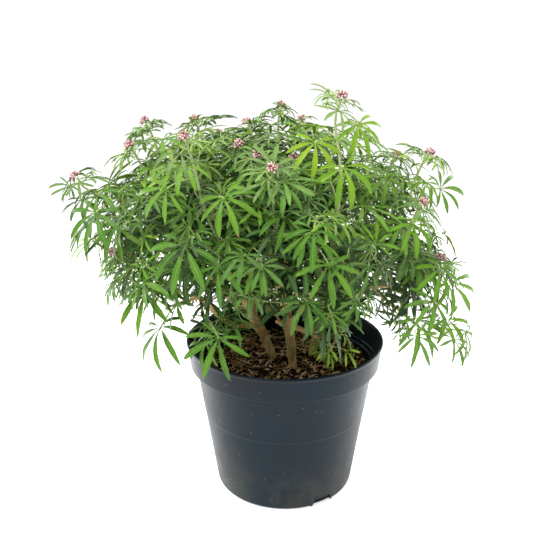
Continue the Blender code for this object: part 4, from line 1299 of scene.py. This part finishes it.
def make_pot(plastic):
    pot = new_object("pot", lambda bm: add_turned(bm, pot_profile(), POT_SEGMENTS))
    band_foot = POT_HEIGHT - BAND_HEIGHT
    within = ((0.0, 0.0004), (wall_radius(0.0004) - 0.0004, 0.0004), (WALL_TOP_RADIUS - 0.0004, band_foot),
              (0.0, band_foot))
    for turn in (NOTCH_TURN, NOTCH_TURN + math.pi):
        lining = new_object("lining", lambda bm: add_notch(bm, turn, WALL))
        combine(lining, new_object("trim", lambda bm: add_turned(bm, within, POT_SEGMENTS)), "INTERSECT")
        combine(pot, lining, "UNION")
        combine(pot, new_object("notch", lambda bm: add_notch(bm, turn, 0.0)), "DIFFERENCE")
    for number in range(DRAIN_HOLES):
        turn = NOTCH_TURN + math.tau * (number + 0.5) / DRAIN_HOLES
        place = (math.cos(turn) * DRAIN_RING_RADIUS, math.sin(turn) * DRAIN_RING_RADIUS)

        def add_hole(bm):
            rings = []
            for height in (-0.002, FLOOR + 0.001):
                turns = np.arange(28) * math.tau / 28
                rings.append([bm.verts.new((place[0] + DRAIN_HOLE_RADIUS * math.cos(t),
                                            place[1] + DRAIN_HOLE_RADIUS * math.sin(t), height)) for t in turns])
            for j in range(28):
                k = (j + 1) % 28
                bm.faces.new((rings[0][j], rings[0][k], rings[1][k], rings[1][j]))
            bm.faces.new(rings[0][::-1])
            bm.faces.new(rings[1])

        combine(pot, new_object("hole", add_hole), "DIFFERENCE")
    pot.data.materials.clear()
    pot.data.materials.append(plastic)
    pot.data.shade_smooth()
    pot.data.set_sharp_from_angle(angle=math.radians(38))
    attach(pot, "root")
    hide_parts("nursery_pot")
    return pot


# Soil

CHIPS = 1500
FIBRES = 420


def make_soil(soil_material):
    """The root ball, with a crumbly top."""
    draw = random.Random("soil")
    segments = 96
    edge = wall_radius(SOIL_EDGE) - WALL - GAP
    bottom = FLOOR + GAP
    foot = wall_radius(bottom) - WALL - GAP

    def build(bm):
        turns = np.arange(segments) * math.tau / segments
        rings = [[bm.verts.new((foot * math.cos(t), foot * math.sin(t), bottom)) for t in turns]]
        for radius in (edge, *np.linspace(edge * 0.985, 0.003, 34)):
            ring = []
            for t in turns:
                x, y = radius * math.cos(t), radius * math.sin(t)
                crumble = 0.0 if radius == edge else draw.uniform(-0.0012, 0.0006)
                height = SOIL_EDGE if radius == edge else soil_height(x, y)
                ring.append(bm.verts.new((x, y, height + crumble)))
            rings.append(ring)
        for low, high in zip(rings, rings[1:]):
            for j in range(segments):
                k = (j + 1) % segments
                bm.faces.new((low[j], low[k], high[k], high[j]))
        bm.faces.new(rings[0][::-1])
        bm.faces.new(rings[-1])

    soil = new_object("soil", build)
    soil.data.materials.append(soil_material)
    soil.data.shade_smooth()
    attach(soil, "root")
    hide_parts("soil_root_ball")
    return soil


def make_chips(chip_material):
    """Bark chips and wood fibres strewn over the soil."""
    surface = Surface()
    draw = random.Random("chips")
    edge = wall_radius(SOIL_EDGE) - WALL - 0.004
    for number in range(CHIPS + FIBRES):
        is_fibre = number >= CHIPS
        reach = edge * math.sqrt(draw.random())
        turn = draw.uniform(0, math.tau)
        x, y = reach * math.cos(turn), reach * math.sin(turn)
        heading = draw.uniform(0, math.tau)
        flat = np.array((math.cos(heading), math.sin(heading), draw.uniform(-0.28, 0.28)))
        along = unit(flat)
        normal = across(UP + np.array((draw.uniform(-0.5, 0.5), draw.uniform(-0.5, 0.5), 0.0)), along)
        side = np.cross(normal, along)
        if is_fibre:
            length, width, depth = draw.uniform(0.007, 0.020), draw.uniform(0.0004, 0.0008), 0.0004
        else:
            length, width = draw.uniform(0.0035, 0.0105), draw.uniform(0.0011, 0.0030)
            depth = draw.uniform(0.0006, 0.0012)
        lift = depth * 0.5 + abs(along[2]) * length * 0.35 + draw.uniform(0.0, 0.0010)
        centre = np.array((x, y, soil_height(x, y) + lift))
        bow = draw.uniform(-0.25, 0.25) * length
        stations = np.linspace(-0.5, 0.5, 5 if is_fibre else 4)
        shape = (0.55, 0.9, 1.0, 0.9, 0.5) if is_fibre else (0.45, 1.0, 0.95, 0.4)
        rings = np.empty((len(stations), 4, 3))
        for k, station in enumerate(stations):
            here = centre + along * station * length + side * bow * (0.25 - station * station)
            wide = side * width * shape[k] * draw.uniform(0.8, 1.15) / 2
            deep = normal * depth * shape[k] * draw.uniform(0.8, 1.15) / 2
            rings[k] = (here - wide - deep, here + wide - deep, here + wide + deep, here - wide + deep)
        if np.hypot(rings[:, :, 0], rings[:, :, 1]).max() > edge + 0.003:
            continue
        pale = draw.random() ** (0.6 if is_fibre else 2.1)
        lies = flat_lies(stations + 0.5, np.array((-1.0, 1.0, 1.0, -1.0)), length)
        surface.loft(rings, lies, (pale, draw.random(), draw.random()), (0, 0, 0, 0))
    obj = surface.make("bark_chips", (chip_material,), 30)
    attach(obj, "root")
    return obj


# Materials

class Shader:
    """A material under construction: its nodes by short calls."""

    def __init__(self, name, roughness, specular=0.5, sheen=0.0):
        self.material = bpy.data.materials.new(name)
        self.material.use_nodes = True
        self.tree = self.material.node_tree
        self.surface = self.tree.nodes["Principled BSDF"]
        self.surface.inputs["Roughness"].default_value = roughness
        self.surface.inputs["Specular IOR Level"].default_value = specular
        self.surface.inputs["Sheen Weight"].default_value = sheen
        self.place = self.node("ShaderNodeTexCoord").outputs["Object"]

    def node(self, kind, **settings):
        made = self.tree.nodes.new(kind)
        for key, value in settings.items():
            setattr(made, key, value)
        return made

    def feed(self, socket, value):
        if isinstance(value, bpy.types.NodeSocket):
            self.tree.links.new(value, socket)
        else:
            socket.default_value = value

    def set(self, socket, value):
        self.feed(self.surface.inputs[socket], value)

    def noise(self, scale, detail=3.0, roughness=0.55, stretch=None, place=None):
        made = self.node("ShaderNodeTexNoise")
        source = place or self.place
        if stretch:
            mapping = self.node("ShaderNodeMapping")
            mapping.inputs["Scale"].default_value = stretch
            self.feed(mapping.inputs["Vector"], source)
            source = mapping.outputs["Vector"]
        self.feed(made.inputs["Vector"], source)
        made.inputs["Scale"].default_value = scale
        made.inputs["Detail"].default_value = detail
        made.inputs["Roughness"].default_value = roughness
        return made.outputs["Fac"]

    def cells(self, scale, feature="F1"):
        made = self.node("ShaderNodeTexVoronoi", feature=feature)
        self.feed(made.inputs["Vector"], self.place)
        made.inputs["Scale"].default_value = scale
        return made.outputs["Distance"]

    def math(self, operation, first, second=0.0, third=0.0):
        made = self.node("ShaderNodeMath", operation=operation)
        for socket, value in zip(made.inputs, (first, second, third)):
            self.feed(socket, value)
        return made.outputs[0]

    def span(self, value, low, high, to_low=0.0, to_high=1.0):
        """A value's place between two limits, eased at both ends."""
        made = self.node("ShaderNodeMapRange", interpolation_type="SMOOTHSTEP")
        for socket, number in zip(made.inputs, (value, low, high, to_low, to_high)):
            self.feed(socket, number)
        return made.outputs["Result"]

    def ramp(self, value, *stops):
        made = self.node("ShaderNodeValToRGB")
        elements = made.color_ramp.elements
        while len(elements) < len(stops):
            elements.new(0.5)
        for element, (position, colour) in zip(elements, stops):
            element.position = position
            element.color = (*colour, 1.0)
        self.feed(made.inputs["Fac"], value)
        return made.outputs["Color"]

    def mix(self, share, first, second, blend="MIX"):
        made = self.node("ShaderNodeMix", data_type="RGBA", blend_type=blend)
        self.feed(made.inputs[0], share)
        for socket, value in ((made.inputs[6], first), (made.inputs[7], second)):
            self.feed(socket, (*value, 1.0) if isinstance(value, tuple) else value)
        return made.outputs[2]

    def lie(self):
        """Sockets for the distance from the midrib, the place along and the size."""
        made = self.node("ShaderNodeAttribute", attribute_name="lie")
        parts = self.node("ShaderNodeSeparateXYZ")
        self.feed(parts.inputs[0], made.outputs["Vector"])
        return parts.outputs

    def tint(self):
        """Sockets for the tone, the down and the chance of a shape."""
        made = self.node("ShaderNodeAttribute", attribute_name="tint")
        parts = self.node("ShaderNodeSeparateColor")
        self.feed(parts.inputs[0], made.outputs["Color"])
        return parts.outputs

    def bump(self, height, distance, strength=1.0):
        made = self.node("ShaderNodeBump")
        made.inputs["Distance"].default_value = distance
        made.inputs["Strength"].default_value = strength
        self.feed(made.inputs["Height"], height)
        self.set("Normal", made.outputs["Normal"])


def leaf_material(name, stops, rib_colour, down_colour, rib_width, roughness):
    """Leaf skin: tone by leaf, which carries painted shade deeper in the crown, down on the young ones, a pale
    midrib, faint side veins, dry tips.
    """
    s = Shader(name, roughness, specular=0.17)
    lie, tint = s.lie(), s.tint()
    out = s.math("ABSOLUTE", lie[0])
    mottle = s.noise(95.0, 4.0, 0.6)
    tone = s.math("ADD", tint[0], s.math("MULTIPLY", s.math("SUBTRACT", mottle, 0.5), 0.42))
    colour = s.ramp(tone, *stops)
    veins = s.math("ADD", s.math("MULTIPLY", lie[1], 95.0), s.math("MULTIPLY", out, -9.0))
    veins = s.span(s.math("SINE", veins), 0.55, 1.0)
    colour = s.mix(s.math("MULTIPLY", veins, 0.16), colour, rib_colour)
    edge = s.span(out, 0.80, 1.0)
    colour = s.mix(s.math("MULTIPLY", edge, 0.22), colour, rib_colour)
    down = s.math("MULTIPLY", tint[1], s.span(s.noise(420.0, 2.0), 0.25, 0.70, 0.45, 1.0))
    colour = s.mix(s.math("MULTIPLY", down, 0.72), colour, down_colour)
    rib = s.math("MULTIPLY", s.span(out, rib_width, rib_width * 0.35), s.span(lie[1], 1.0, 0.2, 0.35, 0.85))
    colour = s.mix(rib, colour, rib_colour)
    dry = s.math("MULTIPLY", s.span(tint[2], 0.93, 0.95), s.span(lie[1], 0.88, 0.97))
    colour = s.mix(dry, colour, (0.34, 0.17, 0.07))
    s.set("Base Color", colour)
    s.set("Roughness", s.span(s.math("ADD", mottle, down), 0.2, 1.6, roughness - 0.08, roughness + 0.22))
    relief = s.math("ADD", s.math("MULTIPLY", veins, -0.5), s.math("MULTIPLY", rib, -0.8))
    s.bump(s.math("ADD", relief, s.noise(900.0, 2.0)), 0.00018, 0.6)
    return s.material


def stem_material():
    s = Shader("green_stem", 0.6, specular=0.2)
    lie, tint = s.lie(), s.tint()
    streak = s.noise(420.0, 3.0, 0.6, stretch=(1.0, 1.0, 0.12))
    colour = s.ramp(s.math("ADD", tint[0], s.math("MULTIPLY", s.math("SUBTRACT", streak, 0.5), 0.7)),
                    (0.0, (0.15, 0.24, 0.07)), (0.45, (0.32, 0.43, 0.14)), (1.0, (0.50, 0.60, 0.22)))
    colour = s.mix(s.math("MULTIPLY", tint[1], 0.45), colour, (0.48, 0.56, 0.34))
    s.set("Base Color", colour)
    s.bump(streak, 0.00025, 0.7)
    return s.material


def bark_material():
    s = Shader("bark", 0.85, specular=0.2)
    grain = s.noise(240.0, 6.0, 0.65, stretch=(1.0, 1.0, 0.16))
    patch = s.noise(46.0, 3.0, 0.6)
    colour = s.ramp(s.math("ADD", s.math("MULTIPLY", grain, 0.6), s.math("MULTIPLY", patch, 0.4)),
                    (0.30, (0.16, 0.080, 0.026)), (0.42, (0.46, 0.28, 0.105)),
                    (0.54, (0.72, 0.51, 0.24)), (0.70, (0.90, 0.74, 0.46)))
    green = s.span(s.noise(30.0, 2.0), 0.50, 0.68, 0.0, 0.5)
    colour = s.mix(green, colour, (0.20, 0.21, 0.07))
    s.set("Base Color", colour)
    s.bump(s.math("ADD", grain, s.math("MULTIPLY", patch, 0.5)), 0.0012, 0.8)
    return s.material


def bud_material():
    """Buds run from a dark foot over mauve to a pale pink tip; the dark foot is partly the calyx's own colour and
    partly painted shade where the buds crowd together.
    """
    s = Shader("buds", 0.65, specular=0.25)
    lie, tint = s.lie(), s.tint()
    place = s.math("ADD", lie[1], s.math("MULTIPLY", s.math("SUBTRACT", tint[0], 0.5), 0.35))
    # The dark foot of each bud, deep in the cluster, is partly painted shade.
    colour = s.ramp(place, (0.0, (0.14, 0.06, 0.06)), (0.28, (0.36, 0.16, 0.18)),
                    (0.58, (0.58, 0.35, 0.33)), (0.95, (0.78, 0.63, 0.57)))
    colour = s.mix(s.span(tint[1], 0.76, 0.86, 0.0, 0.7), colour, (0.24, 0.06, 0.12))
    s.set("Base Color", colour)
    s.bump(s.noise(1400.0, 2.0), 0.0002, 0.6)
    return s.material


def chip_material():
    s = Shader("bark_chips", 0.85, specular=0.2)
    tint = s.tint()
    grain = s.noise(520.0, 5.0, 0.65)
    tone = s.math("ADD", tint[0], s.math("MULTIPLY", s.math("SUBTRACT", grain, 0.5), 0.5))
    colour = s.ramp(tone, (0.0, (0.014, 0.008, 0.005)), (0.18, (0.11, 0.050, 0.018)),
                    (0.40, (0.44, 0.23, 0.090)), (0.68, (0.70, 0.47, 0.25)), (1.0, (0.90, 0.74, 0.52)))
    s.set("Base Color", colour)
    s.bump(grain, 0.0006, 0.8)
    return s.material


def soil_material():
    s = Shader("soil", 0.95, specular=0.15)
    grain = s.noise(330.0, 6.0, 0.7)
    s.set("Base Color", s.ramp(grain, (0.35, (0.004, 0.003, 0.002)), (0.62, (0.022, 0.012, 0.007)),
                               (0.80, (0.09, 0.048, 0.022))))
    s.bump(grain, 0.002, 0.9)
    return s.material


def plastic_material():
    """Black moulded plastic with dust, specks, scuffs and a film of dried soil near its foot."""
    s = Shader("black_plastic", 0.4, specular=0.21)
    s.surface.inputs["Specular Tint"].default_value = (0.68, 0.86, 1.0, 1.0)
    height = s.node("ShaderNodeSeparateXYZ")
    s.feed(height.inputs[0], s.place)
    z = height.outputs[2]
    cloud = s.noise(11.0, 4.0, 0.6)
    colour = s.ramp(cloud, (0.34, (0.0010, 0.0085, 0.0135)), (0.66, (0.0070, 0.0070, 0.0110)))
    film = s.math("MULTIPLY", s.span(z, 0.070, 0.004), s.span(s.noise(26.0, 5.0, 0.7), 0.40, 0.72))
    colour = s.mix(s.math("MULTIPLY", film, 0.50), colour, (0.085, 0.080, 0.055))
    scuff = s.span(s.noise(70.0, 4.0, 0.7, stretch=(0.35, 0.35, 1.6)), 0.66, 0.80)
    colour = s.mix(s.math("MULTIPLY", scuff, 0.28), colour, (0.10, 0.13, 0.16))
    speck = s.math("MULTIPLY", s.span(s.cells(200.0), 0.13, 0.07), s.span(s.noise(60.0, 2.0), 0.55, 0.61))
    colour = s.mix(s.math("MULTIPLY", speck, 0.7), colour, (0.30, 0.28, 0.23))
    s.set("Base Color", colour)
    matt = s.math("ADD", s.math("MULTIPLY", film, 0.25), s.math("MULTIPLY", scuff, 0.15))
    s.set("Roughness", s.math("ADD", s.span(cloud, 0.3, 0.7, 0.28, 0.38), matt))
    s.bump(s.math("ADD", s.noise(55.0, 2.0), s.math("MULTIPLY", s.noise(900.0, 2.0), 0.12)), 0.0008, 0.35)
    return s.material


def stage_material():
    made = bpy.data.materials.new("stage_white")
    made.use_nodes = True
    sockets = made.node_tree.nodes["Principled BSDF"].inputs
    sockets["Base Color"].default_value = (0.9, 0.9, 0.9, 1.0)
    sockets["Roughness"].default_value = 0.9
    sockets["Emission Color"].default_value = (1.0, 1.0, 1.0, 1.0)
    sockets["Emission Strength"].default_value = FLOOR_GLOW
    return made


# Camera, light and floor

CAMERA_PLACE = (-0.0095, -0.745, 0.495)
CAMERA_PITCH = math.radians(-18.2)
FOCAL_PIXELS = 700
IMAGE_PIXELS = 553
SENSOR = 36.0
FLOOR_REACH = 8.0
FLOOR_GLOW = 0.63
SKY = (0.43, 0.43, 0.42)


def make_camera():
    data = bpy.data.cameras.new("camera")
    data.sensor_width = SENSOR
    data.lens = SENSOR * FOCAL_PIXELS / IMAGE_PIXELS
    camera = bpy.data.objects.new("camera", data)
    camera.location = CAMERA_PLACE
    camera.rotation_euler = (math.radians(90) + CAMERA_PITCH, 0.0, 0.0)
    bpy.context.scene.collection.objects.link(camera)
    bpy.context.scene.camera = camera


def add_light(name, place, size, power, colour=(1.0, 1.0, 1.0)):
    """A square soft light that points at the plant."""
    data = bpy.data.lights.new(name, "AREA")
    data.size = size
    data.energy = power
    data.color = colour
    light = bpy.data.objects.new(name, data)
    light.location = place
    aim = np.array((0.0, 0.0, 0.25)) - np.array(place)
    flat = math.hypot(aim[0], aim[1])
    light.rotation_euler = (math.atan2(flat, -aim[2]), 0.0, math.atan2(aim[1], aim[0]) - math.pi / 2)
    bpy.context.scene.collection.objects.link(light)


def make_studio():
    scene = bpy.context.scene
    scene.view_settings.view_transform = "Standard"
    world = bpy.data.worlds.new("studio")
    scene.world = world
    world.use_nodes = True
    nodes, links = world.node_tree.nodes, world.node_tree.links
    background = nodes["Background"]
    background.inputs["Strength"].default_value = 1.0
    seen = nodes.new("ShaderNodeMix")
    seen.data_type = "RGBA"
    seen.inputs[6].default_value = (*SKY, 1.0)
    seen.inputs[7].default_value = (1.0, 1.0, 1.0, 1.0)
    links.new(nodes.new("ShaderNodeLightPath").outputs["Is Camera Ray"], seen.inputs[0])
    links.new(seen.outputs[2], background.inputs["Color"])
    add_light("key", (-0.50, -0.70, 1.40), 0.55, 16.0)
    add_light("top", (0.25, 0.10, 1.50), 1.0, 11.0)
    add_light("left", (-0.95, 0.62, 0.45), 0.9, 15.0)
    add_light("right", (0.95, 0.62, 0.45), 0.9, 14.0)

    def add_floor(bm):
        corners = ((-1, -1), (1, -1), (1, 1), (-1, 1))
        bm.faces.new([bm.verts.new((x * FLOOR_REACH, y * FLOOR_REACH, -0.0002)) for x, y in corners])

    floor = new_object("floor", add_floor)
    floor.data.materials.append(stage_material())


def make_plant():
    space = Space()
    paths = place_stems(space)
    leaves = place_leaves(space, paths)
    stems = [cut_path(paths[name], length_of(paths[name]) - SHOWN_FROM, length_of(paths[name]) - 0.008, 12)
             for name in SHOWN_STEMS]
    place_more_front_leaves(space, paths, leaves)
    fill_shoots(space, paths, leaves, stems)
    twigs = place_back_twigs(space, paths, leaves, stems)
    twigs += place_twigs(space, paths, leaves, stems)
    place_rings(space, paths, twigs, leaves)
    upper = leaf_material(
        "leaf_upper",
        ((0.0, (0.005, 0.026, 0.011)), (0.22, (0.016, 0.075, 0.016)), (0.48, (0.062, 0.190, 0.014)),
         (0.75, (0.135, 0.305, 0.012)), (1.0, (0.26, 0.42, 0.012))),
        (0.25, 0.40, 0.06), (0.30, 0.39, 0.17), 0.14, 0.44,
    )
    # The underside of each leaflet is a brighter yellow-green: partly its own paler colour, partly painted light
    # that stands for light shining through the leaf.
    underside_with_painted_backlight = leaf_material(
        "leaf_underside_painted_backlight",
        ((0.0, (0.020, 0.070, 0.014)), (0.40, (0.095, 0.205, 0.018)), (1.0, (0.32, 0.46, 0.02))),
        (0.30, 0.44, 0.16), (0.33, 0.43, 0.26), 0.20, 0.60,
    )
    stem = stem_material()
    for shoot, path in paths.items():
        make_shoot(shoot, path, leaves, twigs, (upper, underside_with_painted_backlight, stem))
    buds = bud_material()
    for shoot, path in paths.items():
        if SHOOTS[shoot][3]:
            make_buds(shoot, path, buds, stem)
    bark = bark_material()
    for clump in CLUMPS:
        make_wood(clump, paths, bark)


make_camera()
make_studio()
make_pot(plastic_material())
make_soil(soil_material())
make_chips(chip_material())
make_plant()
